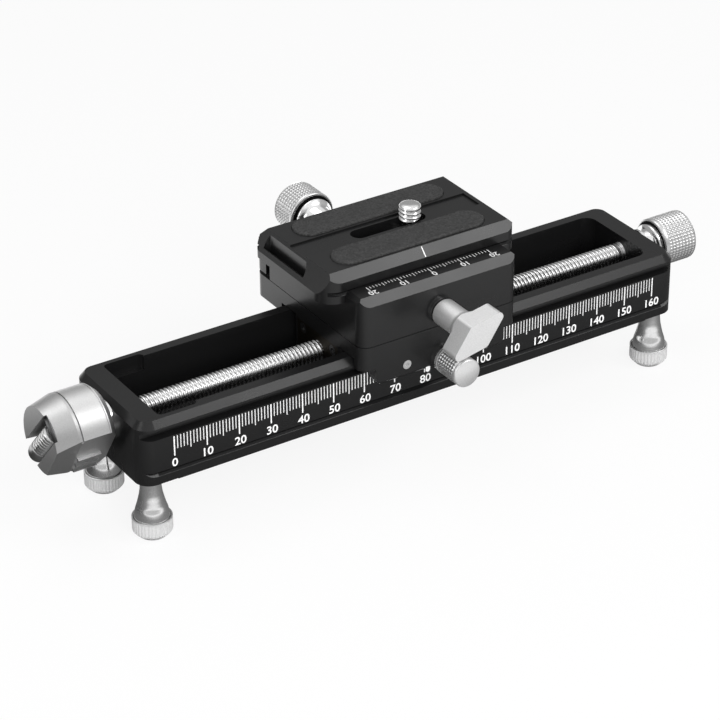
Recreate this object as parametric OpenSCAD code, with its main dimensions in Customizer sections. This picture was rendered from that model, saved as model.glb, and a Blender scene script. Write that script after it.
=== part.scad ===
// Macro focusing rail: a screw driven carriage on a slotted rail, with a panning plate clamp.
// Row frame: X runs along the rail towards the fine knob, Y to the back, Z up.
// The origin is the middle of the rail's underside. All sizes are in millimetres.

/* [Rail] */
// Length of the rail body
rail_l = 179; // [150:1:240]
// Width of the rail body, front to back
rail_w = 37.7; // [34:0.1:44]
// Height of the rail body
rail_h = 19.3; // [17:0.1:24]
// Radius of the rail's upright corners
rail_corner_r = 4.5; // [2:0.1:6]
// Width of the bevel round the top, seen from above
rail_bevel = 1.6; // [0.6:0.1:2]
// Height of the bevel round the top
rail_bevel_h = 2; // [0.6:0.1:2.2]
// Thickness of the end walls that carry the bearings
end_wall = 7.45; // [6:0.05:10]
// Width of the open trough
trough_w = 28.5; // [25:0.1:31]
// Corner radius of the trough
trough_r = 3.4; // [2:0.1:5]
// Thickness left under the trough
trough_floor = 4.6; // [4.3:0.1:6]
// Length of the relief pockets in the trough's long walls, at the crank end
pocket_l = 12; // [6:0.1:20]
// Depth of the relief pockets into the long walls
pocket_d = 1.5; // [1:0.1:2.2]
// Height of the relief pockets' lower edge above the underside
pocket_z = 14.9; // [13:0.1:16]
// Height of the lower edge of the carriage way groove
way_z = 14; // [13:0.1:16]
// Height of the way groove at the face of the rail
way_h = 2.6; // [2:0.1:3]
// Height of the way groove at its bottom
way_in_h = 1.4; // [1:0.1:1.8]
// Depth of the way groove
way_d = 2; // [1.2:0.1:2.4]
// Height of the lower dovetail lip
dove_z = 2.7; // [2:0.1:4]
// Depth of the dovetail groove above the lower lip
dove_d = 1.35; // [1:0.05:1.8]

/* [Feet] */
// Distance of the foot axis from the rail's end
foot_in_x = 4.95; // [4.5:0.05:8]
// Distance of the foot axis from the rail's long face
foot_in_y = 5.1; // [4.5:0.05:7]
// Height of the rail's underside above the table
foot_h = 18; // [12:0.1:30]
// Radius of the foot stem's neck
foot_neck_r = 2.85; // [2:0.05:3.2]
// Radius of the foot stem where it enters the cup
foot_flare_r = 4.95; // [3.5:0.05:5]
// Outer radius of the foot cup
foot_cup_r = 5.6; // [5.5:0.05:7]
// Height of the foot cup
foot_cup_h = 5.9; // [5.2:0.1:8]
// Depth of the threaded end of the foot stem in the rail
foot_thread_l = 4; // [3:0.1:4.2]
// Radius of the threaded end of the foot stem
foot_thread_r = 1.95; // [1.5:0.05:2.4]

/* [Lead screw] */
// Height of the lead screw axis above the rail's underside
screw_z = 12.6; // [11.5:0.1:13]
// Radius over the lead screw's thread
screw_r = 3.5; // [2.5:0.05:4]
// Radius of the lead screw's plain journals
journal_r = 2.9; // [2:0.05:3.2]
// Outer radius of the bearing sleeves in the end walls
bearing_r = 4.6; // [4:0.05:5.5]
// Radius of the bearing flanges outside the end walls
bearing_flange_r = 5.7; // [5.2:0.05:6.4]
// Thickness of the bearing flanges
bearing_flange_t = 0.8; // [0.5:0.1:1.2]

/* [Crank knob] */
// Radius of the crank knob
crank_r = 11.4; // [10.6:0.1:13]
// Gap between the rail's end and the crank knob
crank_gap = 2.5; // [2:0.1:4]
// Length of the crank knob's barrel
crank_barrel_l = 10.4; // [8:0.1:16]
// Length of the crank knob's slotted head
crank_head_l = 7.1; // [6.8:0.1:10]
// Direction of the handle slot in the end face, below the back of the row
slot_ang = 47.8; // [30:0.1:60]
// Width of the handle slot
slot_w = 7.9; // [6.6:0.1:8.5]
// Depth of the handle slot
slot_d = 6.1; // [6:0.1:6.4]
// Distance from the screw axis to the closed end of the slot
slot_end = 9; // [8:0.1:10]
// Distance from the screw axis to the grip flat on the barrel
flat_d = 7.6; // [7.2:0.1:9]
// Radius of the folding handle's grip
grip_r = 3; // [2.4:0.05:3.2]
// Length of the ribbed grip
grip_l = 11.2; // [10:0.1:14]
// Distance from the screw axis to the handle's hinge pin
pin_back = 6.6; // [6.5:0.1:6.8]

/* [Fine knob] */
// Radius of the fine focus knob
fine_r = 7.45; // [6:0.05:10]
// Length of the fine focus knob
fine_l = 11.5; // [8:0.1:16]
// Gap between the rail's end and the fine focus knob
fine_gap = 5.3; // [4.6:0.1:8]
// Radius of the polished collar beside the fine knob
collar_r = 6.1; // [5:0.05:6.6]

/* [Carriage] */
// Position of the carriage along the rail as shown
car_x = 3.15; // [-20:0.05:20]
// Length of the carriage along the rail
car_l = 52.1; // [46:0.1:60]
// Overhang of the carriage in front of the rail
car_front = 4.1; // [3.8:0.05:5]
// Overhang of the carriage behind the rail
car_back = 14.5; // [13:0.1:16]
// Height of the carriage's top face above the rail's underside
car_top = 23.65; // [22.5:0.05:26]
// Radius of the upright corners of the carriage and the clamp
car_corner_r = 3.4; // [2:0.1:5]
// Height of the carriage's side lips above the rail's underside
lip_z = 16.4; // [16:0.1:17.2]
// Height of the apron's lower edge above the rail's underside
apron_z = 11; // [10.6:0.1:12]
// Length of the apron along the rail
apron_l = 42.7; // [36:0.1:44]
// Radius of the apron's lower corners
apron_r = 2.5; // [1:0.1:3]
// Height of the underside of the nut block
block_z = 7; // [6:0.1:8]
// Radius of the gib set screws
gib_screw_r = 1.35; // [1:0.05:1.6]
// Distance of each gib set screw from the carriage's middle
gib_screw_x = 11.1; // [8:0.1:16]

/* [Travel lock] */
// Offset of the travel lock from the carriage's middle
lock_x = 1.45; // [-4:0.05:4]
// Height of the travel lock axis above the rail's underside
lock_z = 13.05; // [12.8:0.05:13.4]
// Radius of the travel lock knob
lock_r = 4.25; // [3.5:0.05:5]
// Length of the travel lock knob
lock_l = 10; // [7:0.1:12]
// Radius of the travel lock's screw
lock_screw_r = 1.1; // [0.9:0.05:1.2]

/* [Pan clamp] */
// Gap between the carriage and the clamp above it
pan_gap = 0.2; // [0.1:0.05:0.3]
// Height of the plate's seat above the rail's underside
bed_z = 35; // [34:0.1:38]
// Height of the scale shelf above the plate's seat
shelf_h = 3.4; // [3:0.1:4]
// Bevel on the shelf's front edge
shelf_bevel = 2.25; // [1:0.05:2.6]
// Radius of the pan spigot
spigot_r = 13; // [11:0.1:15]
// Height of the pan spigot above the carriage's top face
spigot_h = 9.2; // [8:0.1:9.6]
// Height of the clamp screw and pan lock axis above the rail's underside
clamp_z = 28.6; // [28:0.1:29]
// Distance between the body and the lower part of the moving jaw
jaw_slot = 2; // [1:0.1:3]
// Thickness of the moving jaw's lower part
jaw_t = 6.15; // [5:0.05:7]
// Travel of the moving jaw
jaw_travel = 2.5; // [1.5:0.1:3]
// Radius of the clamp screw
clamp_screw_r = 2.4; // [2:0.05:2.8]
// Distance from the moving jaw's back to the clamp knob
clamp_neck_l = 10.7; // [9:0.1:14]
// Radius of the clamp knob
clamp_knob_r = 7.35; // [6:0.05:7.6]
// Length of the clamp knob
clamp_knob_l = 9.6; // [8:0.1:14]

/* [Pan lock] */
// Radius of the pan lock handle's stem
tee_r = 3.9; // [3:0.05:4.4]
// Distance from the clamp's front face to the back of the handle's wing
tee_stem_l = 12.25; // [10:0.05:14]
// Thickness of the handle's wing
tee_t = 6.1; // [5:0.1:8]
// Half length of the handle's wing between the rounded tips
tee_half = 6.4; // [5:0.1:7]

/* [Plate] */
// Width of the plate across the clamp
plate_w = 37.1; // [36:0.1:39]
// Thickness of the plate
plate_t = 8.7; // [8:0.1:10]
// Distance from the plate's index line to its plain end
plate_half_l = 31.15; // [28:0.05:40]
// Distance from the plate's index line to its notched end
plate_tail_l = 32.45; // [30:0.05:40]
// Bevel along the plate's long top edges
plate_bevel = 2.5; // [1.5:0.05:2.8]
// Height of the plate's dovetail groove at its face
plate_groove_h = 1.3; // [1:0.05:1.6]
// Height of the plate's lower lip
plate_lip = 2.3; // [1.8:0.05:2.4]
// Length of the camera screw slot
plate_slot_l = 24.2; // [16:0.1:30]
// Width of the camera screw slot
plate_slot_w = 5.2; // [5:0.05:5.6]
// Length of the two rubber pads
pad_l = 49; // [40:0.1:54]
// Width of the two rubber pads
pad_w = 9.9; // [7:0.1:10.4]
// Height of the pads above the plate's top face
pad_proud = 0.8; // [0.3:0.05:1]
// Outside radius of the camera screw's thread
cam_r = 3.175; // [3.175:0.001:3.175]
// Height of the camera screw above the plate's top face
cam_h = 4.4; // [4:0.1:6]
// Position of the camera screw from the plate's index line
cam_x = 7.3; // [-9:0.1:9]

/* [Hidden] */
$fn = 96;
fine_fn_share = 128;
eps = 0.05;
over = 40;
black = [0.09, 0.09, 0.1];
silver = [0.8, 0.8, 0.8];
steel = [0.7, 0.7, 0.72];
brass = [0.75, 0.6, 0.3];
rubber = [0.15, 0.15, 0.15];

// Running clearance of shafts, gap beside sliding faces, gap over the rail and gap of loose holes
run_gap = 0.04;
slide_gap = 0.1;
face_gap = 0.05;
loose_gap = 0.35;
wall_gap = 0.35;

half_l = rail_l / 2;
half_w = rail_w / 2;
trough_hw = trough_w / 2;
trough_hl = half_l - end_wall;
trough_l = 2 * trough_hl;
pocket_r = 1.4;
relief_d = 0.2;
relief_in = foot_in_x + foot_cup_r + 0.3;
way_top = way_z + way_h;

// Feet
foot_x = half_l - foot_in_x;
foot_y = half_w - foot_in_y;
foot_floor = -foot_h;
foot_cup_top = foot_floor + foot_cup_h;
foot_cup_t = 0.4;
foot_cup_in_r = foot_cup_r - foot_cup_t;
foot_chamfer = 1.45;
foot_pad_l = 1.6;
foot_base_t = foot_pad_l + foot_chamfer;
foot_lead = 0.25;
foot_dark_gap = 1.6;
foot_flare_d = foot_flare_r - foot_neck_r;
flare_shares = [[0.2, 0.03], [0.39, 0.16], [0.51, 0.31], [0.68, 0.55], [0.8, 0.79], [0.96, 0.98]];
foot_pad_r = foot_cup_r - foot_chamfer;

// Crank knob stations along X
crank_in = -half_l - crank_gap;
crank_mid = crank_in - crank_barrel_l;
crank_seam = 0.4;
crank_seam_d = 0.7;
crank_out = crank_mid - crank_head_l;
crank_cone = 6.3;
crank_tip_r = crank_r - 1.7;
crank_round = 1.7;
ring_x = crank_in - 2.2;
ring_w = 0.3;
ring_d = 0.2;
slot_floor = crank_out + slot_d;
slot_hw = slot_w / 2;
grip_x = slot_floor - grip_r - 0.2;
rim_cut_x = crank_out + 0.8;
grip_start = 4.3;
root_r = 2.1;
arm_hub_r = 1.7;
cap_l = 4.1;
dome_h = 2.2;
dome_shares = [[0.97, 0.25], [0.85, 0.55], [0.62, 0.82], [0.32, 0.97]];
axle_over = 0.3;
rim_back = 3;
pin_r = 0.9;
pin_half = 5.9;
ridge_n = 3;
ridge_w = 0.9;
ridge_h = 0.9;
ridge_pitch = 3;
ridge_in = 0.6;
ridge_end = 2.9;
ridge_shift = 2.05;
flat_turn = -9.2;
hub_r = 4.2;

// Fine knob stations along X
fine_in = half_l + fine_gap;
fine_out = fine_in + fine_l;
collar_groove = 0.7;
collar_neck_r = 4.3;
collar_in = half_l + bearing_flange_t + 0.1;
knob_edge = 0.6;

// Carriage faces
car_yf = -half_w - car_front;
car_yb = half_w + car_back;
car_d = car_yb - car_yf;
car_cy = (car_yf + car_yb) / 2;
car_under = rail_h + slide_gap;
way_face = half_w + slide_gap;
block_hw = trough_hw - wall_gap;
apron_bevel = 0.75;
pointer_w = 1.5;
pointer_x = -4.3;
pointer_drop = 0.8;
pointer_top = 1;
pointer_t = 0.3;
block_r = trough_r;
gib_drop = 0.7;
gib_z = way_z + way_h / 2;
gib_screw_z = gib_z - gib_drop;
gib_l = 38;
gib_in_d = 1.2;
gib_h_out = 1.5;
gib_h_in = 1;
gib_reach = 1.6;
nut_r = 5.2;
nut_l = 20;
flange_t = 1.6;
flange_hw = 10.5;
flange_z0 = 8;
flange_z1 = 18.6;
nut_screw_y = 7.6;
nut_screw_z = 16.5;
nut_screw_r = 0.9;
nut_screw_head_r = 1.6;
nut_screw_head_t = 0.9;
nut_screw_l = 6;
gib_screw_l = 2.6;
socket_share = 0.5;

// Travel lock
lock_cx = car_x + lock_x;
washer_t = 0.8;
washer_gap = 0.1;
lock_in = car_yf - washer_t - 2 * washer_gap;
lock_out = lock_in - lock_l;

// Clamp
clamp_bot = car_top + pan_gap;
shelf_z = bed_z + shelf_h;
spigot_low = 1;
spigot_neck_z0 = clamp_z - 1.6;
spigot_neck_z1 = clamp_z + 1.6;
spigot_neck_d = 1.6;
spigot_top = car_top + spigot_h;
plate_cy = car_cy - 1.5;
plate_yf = plate_cy - plate_w / 2;
plate_yb = plate_cy + plate_w / 2;
plate_top = bed_z + plate_t;
groove_z0 = bed_z + plate_lip;
groove_z1 = groove_z0 + plate_groove_h;
jaw_face_gap = 0.12;
front_jaw_y = plate_yf - jaw_face_gap;
rear_jaw_y = plate_yb + jaw_face_gap;
jaw_tip_d = 0.85;
body_yb = car_yb - jaw_t - jaw_slot;
jaw_low_z = clamp_bot + 0.95;
jaw_step_z = jaw_low_z + 3.3;
jaw_join_y = body_yb + 0.15;
jaw_low_y = car_yb - jaw_t;
guide_x = 16;
guide_z = clamp_z + 2.6;
guide_r = 1.5;
guide_back = 2.5;
knob_y = car_yb + clamp_neck_l;
knob_neck_r = 4.4;
knob_ring_r = 5.9;
ring_back = 2.6;
ring_front = 1.4;
thread_hole_gap = 0.05;
tee_yb = car_yf - tee_stem_l;
tee_yf = tee_yb - tee_t;
tee_tip_r = 1.4;
tee_corner_z = 4.15;
tee_in_x = 1.9;
tee_far_z = 2.5;
tee_pts = [[tee_half, tee_corner_z], [-tee_in_x, tee_far_z], [-tee_half, -tee_corner_z], [tee_in_x, -tee_far_z]];
tee_washer_in = 0.1;
shelf_end_bevel = 1.2;
stud_tip_l = 1.2;
stud_reach = spigot_r - 0.6;
stud_r = 2.2;

// Plate parts
index_x = car_x;
plate_x0 = index_x - plate_tail_l;
plate_x1 = index_x + plate_half_l;
tail_front_r = 5.8;
tail_back_r = 2;
tail_slope = 3;
notch_in = 2.5;
notch_y0 = plate_cy - 6.1;
notch_y1 = plate_cy + 14.8;
notch_r = 1.4;
end_r = 3.8;
end_bevel = 1.6;
channel_w = 8.1;
channel_d = 0.5;
channel_out = 2.9;
pad_cy = 10.1;
pad_sink = 0.9;
pad_gap = 0.12;
head_slot_w = 11;
head_slot_z = 3.6;
cam_neck_r = 2.35;
cam_head_r = 5;
cam_head_t = 2.2;
cam_head_z = bed_z + 0.6;
clip_t = 0.7;
clip_r = 5.2;
cam_px = index_x + cam_x;
cam_top = plate_top + cam_h;
cam_thread_z = plate_top - channel_d + 0.4;
cam_round = 0.9;
cam_lead = 0.3;

// A flat outline with rounded corners, centred on the origin
module round_rect(l, w, r) {
    union() {
        square([l - 2 * r, w], center = true);
        square([l, w - 2 * r], center = true);
        for (sx = [-1, 1]) {
            for (sy = [-1, 1]) {
                translate([sx * (l / 2 - r), sy * (w / 2 - r)]) circle(r = r);
            }
        }
    }
}

// A rounded block between two heights
module round_block(l, w, r, z0, z1) {
    translate([0, 0, z0]) linear_extrude(height = z1 - z0) round_rect(l, w, r);
}

// A round bar along X between two stations
module bar_x(r, x0, x1) {
    translate([x0, 0, 0]) rotate([0, 90, 0]) cylinder(r = r, h = x1 - x0);
}

// A round bar along Y between two stations
module bar_y(r, y0, y1) {
    translate([0, y1, 0]) rotate([90, 0, 0]) cylinder(r = r, h = y1 - y0);
}

// A prism along X whose section is given as points in Y and Z
module prism_x(pts, l) {
    rotate([90, 0, 90]) linear_extrude(height = l, center = true) polygon(pts);
}

// A prism along Y whose section is given as points in X and Z
module prism_y(pts, l) {
    rotate([90, 0, 0]) linear_extrude(height = l, center = true) polygon(pts);
}

// A box given by its low and high corners
module span(lo, hi) {
    translate(lo) cube([hi[0] - lo[0], hi[1] - lo[1], hi[2] - lo[2]]);
}

// A block on the base plane with round corners and a bevel round its top
module bevelled_block(l, w, r, h, b, bh) {
    prism_x([[-w / 2, 0], [w / 2, 0], [w / 2, h - bh], [w / 2 - b, h], [b - w / 2, h], [-w / 2, h - bh]], l - 2 * r);
    prism_y([[-l / 2, 0], [l / 2, 0], [l / 2, h - bh], [l / 2 - b, h], [b - l / 2, h], [-l / 2, h - bh]], w - 2 * r);
    for (sx = [-1, 1]) {
        for (sy = [-1, 1]) {
            translate([sx * (l / 2 - r), sy * (w / 2 - r), 0]) rotate_extrude()
                polygon([[0, 0], [r, 0], [r, h - bh], [r - b, h], [0, h]]);
        }
    }
}

// The cuts along one long side of the rail: way groove and dovetail groove
module rail_side_cuts() {
    prism_x([
        [-half_w - eps, way_z],
        [-half_w, way_z],
        [-half_w + way_d, way_z + (way_h - way_in_h) / 2],
        [-half_w + way_d, way_top - (way_h - way_in_h) / 2],
        [-half_w, way_top],
        [-half_w - eps, way_top]
    ], rail_l + over);
    prism_x([
        [-half_w - eps, dove_z],
        [-half_w, dove_z],
        [-half_w + dove_d, dove_z + dove_d],
        [-half_w - eps, dove_z + dove_d]
    ], rail_l + over);
}

module rail_body() {
    color(black)
    difference() {
        bevelled_block(rail_l, rail_w, rail_corner_r, rail_h, rail_bevel, rail_bevel_h);
        round_block(trough_l, trough_w, trough_r, trough_floor, rail_h + over);
        rail_side_cuts();
        mirror([0, 1, 0]) rail_side_cuts();
        translate([-trough_hl + pocket_l / 2, 0, 0])
            round_block(pocket_l, trough_w + 2 * pocket_d, pocket_r, pocket_z, rail_h + over);
        for (sx = [-1, 1]) {
            translate([sx * (half_l - relief_in + over), 0, relief_d - over]) cube(2 * over, center = true);
        }
        translate([0, 0, screw_z]) bar_x(bearing_r, -half_l - over, half_l + over);
        for (sx = [-1, 1]) {
            for (sy = [-1, 1]) {
                translate([sx * foot_x, sy * foot_y, -over])
                    cylinder(r = foot_thread_r + face_gap, h = over + foot_thread_l + eps);
            }
        }
    }
}

// A flanged bearing sleeve in the end wall at the low X end
module bearing() {
    translate([0, 0, screw_z])
    difference() {
        union() {
            bar_x(bearing_r, -half_l - eps, -trough_hl - eps);
            bar_x(bearing_flange_r, -half_l - bearing_flange_t, -half_l);
        }
        bar_x(journal_r + run_gap, -half_l - over, -trough_hl + over);
    }
}

module left_bearing() {
    color(brass) bearing();
}

module right_bearing() {
    color(brass) mirror([1, 0, 0]) bearing();
}

module lead_screw() {
    color(steel)
    translate([0, 0, screw_z]) {
        bar_x(screw_r, -trough_hl + slide_gap, trough_hl - slide_gap);
        bar_x(journal_r, crank_mid - crank_seam, fine_out - fine_l / 3);
    }
}

// The crank knob's frame: X along the screw, Y across the slot, Z from the slot's open end to its closed one
module slot_frame() {
    translate([0, 0, screw_z]) rotate([90 - slot_ang, 0, 0]) children();
}

// The grip flat across barrel and head, in the slot frame
module flat_cut() {
    rotate([flat_turn, 0, 0]) span([crank_out - over, -over, -over], [crank_in + over, -flat_d, over]);
}

// The finger ridges on the barrel's flat, in the slot frame
module ridges() {
    rotate([flat_turn, 0, 0])
    for (i = [0:ridge_n - 1]) {
        translate([
            crank_mid + ridge_in,
            -flat_d - ridge_h,
            -ridge_shift - i * ridge_pitch
        ]) cube([crank_barrel_l - ridge_in - ridge_end, ridge_h + 2 * eps, ridge_w]);
    }
}

module crank_barrel() {
    color(silver)
    difference() {
        slot_frame()
        difference() {
            union() {
                difference() {
                    union() {
                        bar_x(crank_r, crank_mid + crank_seam, ring_x - ring_w / 2);
                        bar_x(crank_r - ring_d, ring_x - ring_w / 2 - eps, ring_x + ring_w / 2 + eps);
                        bar_x(crank_r, ring_x + ring_w / 2, crank_in - crank_round);
                        translate([crank_in - crank_round, 0, 0]) rotate([0, 90, 0])
                            cylinder(r1 = crank_r, r2 = crank_r - crank_round, h = crank_round);
                        bar_x(crank_r - crank_seam_d, crank_mid, crank_mid + crank_seam + eps);
                        bar_x(hub_r, crank_in - eps, -half_l - bearing_flange_t - slide_gap);
                    }
                    flat_cut();
                }
                intersection() {
                    ridges();
                    bar_x(crank_r, crank_mid - over, crank_in + over);
                }
            }
        }
        translate([0, 0, screw_z]) bar_x(journal_r, crank_mid - over, crank_in + over);
    }
}

module crank_head() {
    color(silver)
    slot_frame()
    difference() {
        union() {
            bar_x(crank_r, crank_out + crank_cone, crank_mid);
            translate([crank_out, 0, 0]) rotate([0, 90, 0])
                cylinder(r1 = crank_tip_r, r2 = crank_r, h = crank_cone + eps);
        }
        span([crank_out - over, -slot_hw, -over], [slot_floor, slot_hw, slot_end]);
        span([crank_out - over, -slot_hw, slot_end - rim_back], [rim_cut_x, slot_hw, over]);
        translate([grip_x, 0, pin_back]) bar_y(pin_r, -pin_half, pin_half);
        bar_x(journal_r, crank_mid - crank_seam, crank_mid + over);
        flat_cut();
    }
}

module crank_pin() {
    color(steel)
    slot_frame() translate([grip_x, 0, pin_back]) bar_y(pin_r, -pin_half, pin_half);
}

// Handle root with its hinge eye, the axle of the grip and the end cap
module crank_arm() {
    color(steel)
    slot_frame()
    translate([grip_x, 0, 0])
    difference() {
        union() {
            translate([0, 0, pin_back]) bar_y(root_r, -slot_hw + slide_gap, slot_hw - slide_gap);
            translate([0, 0, grip_start]) cylinder(r = root_r, h = pin_back - grip_start);
            translate([0, 0, grip_start - grip_l - axle_over]) cylinder(r = arm_hub_r, h = grip_l + 2 * axle_over);
            translate([0, 0, grip_start - grip_l - slide_gap]) rotate_extrude()
            polygon(concat(
                [[0, 0], [grip_r, 0], [grip_r, -cap_l]],
                [for (s = dome_shares) [grip_r * s[0], -cap_l - dome_h * s[1]]],
                [[0, -cap_l - dome_h]]
            ));
        }
        translate([0, 0, pin_back]) bar_y(pin_r + run_gap, -over, over);
    }
}

module crank_grip() {
    color(silver)
    slot_frame()
    translate([grip_x, 0, grip_start - grip_l])
    difference() {
        cylinder(r = grip_r, h = grip_l - slide_gap);
        translate([0, 0, -eps]) cylinder(r = arm_hub_r + run_gap, h = grip_l + over);
    }
}

module fine_collar() {
    color(silver)
    translate([collar_in, 0, screw_z]) rotate([90, 0, 90])
    rotate_extrude($fn = fine_fn_share)
    polygon([
        [journal_r, 0],
        [collar_neck_r, 0],
        [collar_neck_r, (fine_in - collar_in) * socket_share],
        [collar_r, fine_in - collar_in - collar_groove * 2],
        [collar_r, fine_in - collar_in - collar_groove],
        [collar_neck_r, fine_in - collar_in - collar_groove],
        [collar_neck_r, fine_in - collar_in],
        [journal_r, fine_in - collar_in]
    ]);
}

// A turned knob along X with broken edges and a blind bore
module knob_x(r, l, bore_r, bore_l) {
    rotate([90, 0, 90])
    rotate_extrude($fn = fine_fn_share)
    polygon([
        [bore_r, 0],
        [r - knob_edge, 0],
        [r, knob_edge],
        [r, l - knob_edge],
        [r - knob_edge, l],
        [0, l],
        [0, bore_l],
        [bore_r, bore_l]
    ]);
}

module fine_knob() {
    color(silver)
    translate([fine_in, 0, screw_z]) knob_x(fine_r, fine_l, journal_r, fine_l - fine_l / 3);
}

// Flared foot stem with its threaded end, at the origin of the rail's underside
module foot_stem() {
    rotate_extrude()
    polygon(concat(
        [[0, foot_thread_l], [foot_thread_r, foot_thread_l], [foot_thread_r, relief_d], [foot_neck_r, relief_d]],
        [for (s = flare_shares) [foot_neck_r + foot_flare_d * s[1], foot_cup_top * s[0]]],
        [[foot_flare_r, foot_cup_top - foot_lead]],
        [[foot_flare_r, foot_floor + foot_base_t], [0, foot_floor + foot_base_t]]
    ));
}

// Cup under the foot stem, with a lead in at the table
module foot_cup() {
    rotate_extrude()
    polygon([
        [0, foot_floor],
        [foot_pad_r, foot_floor],
        [foot_pad_r, foot_floor + foot_pad_l],
        [foot_cup_r, foot_floor + foot_base_t],
        [foot_cup_r, foot_cup_top],
        [foot_cup_in_r, foot_cup_top],
        [foot_flare_r, foot_cup_top - foot_dark_gap],
        [foot_flare_r, foot_floor + foot_base_t],
        [0, foot_floor + foot_base_t]
    ]);
}

module foot_stem_fl() {
    color(steel) translate([-foot_x, -foot_y, 0]) foot_stem();
}

module foot_stem_fr() {
    color(steel) translate([foot_x, -foot_y, 0]) foot_stem();
}

module foot_stem_bl() {
    color(steel) translate([-foot_x, foot_y, 0]) foot_stem();
}

module foot_stem_br() {
    color(steel) translate([foot_x, foot_y, 0]) foot_stem();
}

module foot_cup_fl() {
    color(silver) translate([-foot_x, -foot_y, 0]) foot_cup();
}

module foot_cup_fr() {
    color(silver) translate([foot_x, -foot_y, 0]) foot_cup();
}

module foot_cup_bl() {
    color(silver) translate([-foot_x, foot_y, 0]) foot_cup();
}

module foot_cup_br() {
    color(silver) translate([foot_x, foot_y, 0]) foot_cup();
}

// The apron's outline seen from the front
module apron_outline() {
    translate([-apron_l / 2 + apron_r, apron_z]) square([apron_l - 2 * apron_r, lip_z - apron_z + eps]);
    translate([-apron_l / 2, apron_z + apron_r]) square([apron_l, lip_z - apron_z - apron_r + eps]);
    for (sx = [-1, 1]) {
        translate([sx * (apron_l / 2 - apron_r), apron_z + apron_r]) circle(r = apron_r);
    }
}

module carriage() {
    color(black)
    difference() {
        union() {
            translate([car_x, 0, 0])
            difference() {
                translate([0, car_cy, 0]) round_block(car_l, car_d, car_corner_r, lip_z, car_top);
                span([-over, -way_face, lip_z - over], [over, way_face, car_under]);
            }
            translate([car_x, 0, 0]) {
                translate([0, -way_face, 0]) rotate([90, 0, 0]) linear_extrude(height = car_front - slide_gap)
                    apron_outline();
                translate([0, way_face + car_front - slide_gap, 0]) rotate([90, 0, 0])
                    linear_extrude(height = car_front - slide_gap) apron_outline();
                round_block(car_l, 2 * block_hw, block_r, block_z, car_under + eps);
                mirror([0, 1, 0]) prism_x([
                    [-way_face - eps, way_z + slide_gap],
                    [-half_w, way_z + slide_gap],
                    [-half_w + way_d - slide_gap, way_z + slide_gap + (way_h - way_in_h) / 2],
                    [-half_w + way_d - slide_gap, way_top - slide_gap - (way_h - way_in_h) / 2],
                    [-half_w, way_top - slide_gap],
                    [-way_face - eps, way_top - slide_gap]
                ], apron_l - 2 * apron_r);
            }
        }
        translate([car_x, 0, 0]) prism_x([
            [car_yf - eps, apron_z - eps],
            [car_yf + apron_bevel + eps, apron_z - eps],
            [car_yf - eps, apron_z + apron_bevel + eps]
        ], 2 * apron_l);
        translate([0, 0, screw_z]) bar_x(screw_r + loose_gap, car_x - over, car_x + over);
        translate([0, 0, screw_z]) bar_x(nut_r + face_gap, car_x - car_l / 2 - eps, car_x - car_l / 2 + nut_l + eps);
        span(
            [car_x - car_l / 2 - eps, -flange_hw - face_gap, flange_z0 - face_gap],
            [car_x - car_l / 2 + flange_t, flange_hw + face_gap, flange_z1 + face_gap]
        );
        for (sy = [-1, 1]) {
            translate([0, sy * nut_screw_y, nut_screw_z])
                bar_x(nut_screw_r + face_gap, car_x - car_l / 2 - eps, car_x - car_l / 2 + nut_screw_l + eps);
        }
        span(
            [car_x - gib_l / 2 - slide_gap, -way_face - gib_in_d - face_gap, gib_z - gib_h_out / 2 - face_gap],
            [car_x + gib_l / 2 + slide_gap, -way_face + eps, gib_z + gib_h_out / 2 + face_gap]
        );
        for (sx = [-1, 1]) {
            translate([car_x + sx * gib_screw_x, 0, gib_screw_z])
                bar_y(gib_screw_r + face_gap, car_yf - eps, -way_face - gib_in_d);
        }
        translate([lock_cx, 0, lock_z]) bar_y(lock_screw_r + face_gap, car_yf - eps, -way_face + eps);
        translate([car_x, car_cy, car_top - spigot_low]) cylinder(r = spigot_r + face_gap, h = spigot_low + eps);
    }
    color(silver)
    translate([car_x + pointer_x, car_yf + pointer_t, apron_z - pointer_drop + pointer_w / 2])
    rotate([90, 0, 0])
    linear_extrude(height = pointer_t) {
        circle(d = pointer_w);
        translate([-pointer_w / 2, 0]) square([pointer_w, pointer_drop + pointer_top - pointer_w / 2]);
    }
}

module lead_nut() {
    color(brass)
    difference() {
        union() {
            translate([0, 0, screw_z]) bar_x(nut_r, car_x - car_l / 2 + flange_t - eps, car_x - car_l / 2 + nut_l);
            span(
                [car_x - car_l / 2 + eps, -flange_hw, flange_z0],
                [car_x - car_l / 2 + flange_t, flange_hw, flange_z1]
            );
        }
        translate([0, 0, screw_z]) bar_x(screw_r + face_gap, car_x - car_l, car_x + car_l);
        for (sy = [-1, 1]) {
            translate([0, sy * nut_screw_y, nut_screw_z]) {
                bar_x(nut_screw_r + face_gap, car_x - car_l, car_x);
                bar_x(nut_screw_head_r + face_gap, car_x - car_l, car_x - car_l / 2 + nut_screw_head_t);
            }
        }
    }
}

module nut_screws() {
    color(steel)
    for (sy = [-1, 1]) {
        translate([0, sy * nut_screw_y, nut_screw_z])
        difference() {
            union() {
                bar_x(nut_screw_r, car_x - car_l / 2 + nut_screw_head_t - eps, car_x - car_l / 2 + nut_screw_l);
                bar_x(nut_screw_head_r, car_x - car_l / 2 + 2 * eps, car_x - car_l / 2 + nut_screw_head_t);
            }
            translate([car_x - car_l / 2 - eps, 0, 0]) rotate([0, 90, 0])
                cylinder(r = nut_screw_head_r * socket_share, h = nut_screw_head_t * socket_share + eps, $fn = 6);
        }
    }
}

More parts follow.
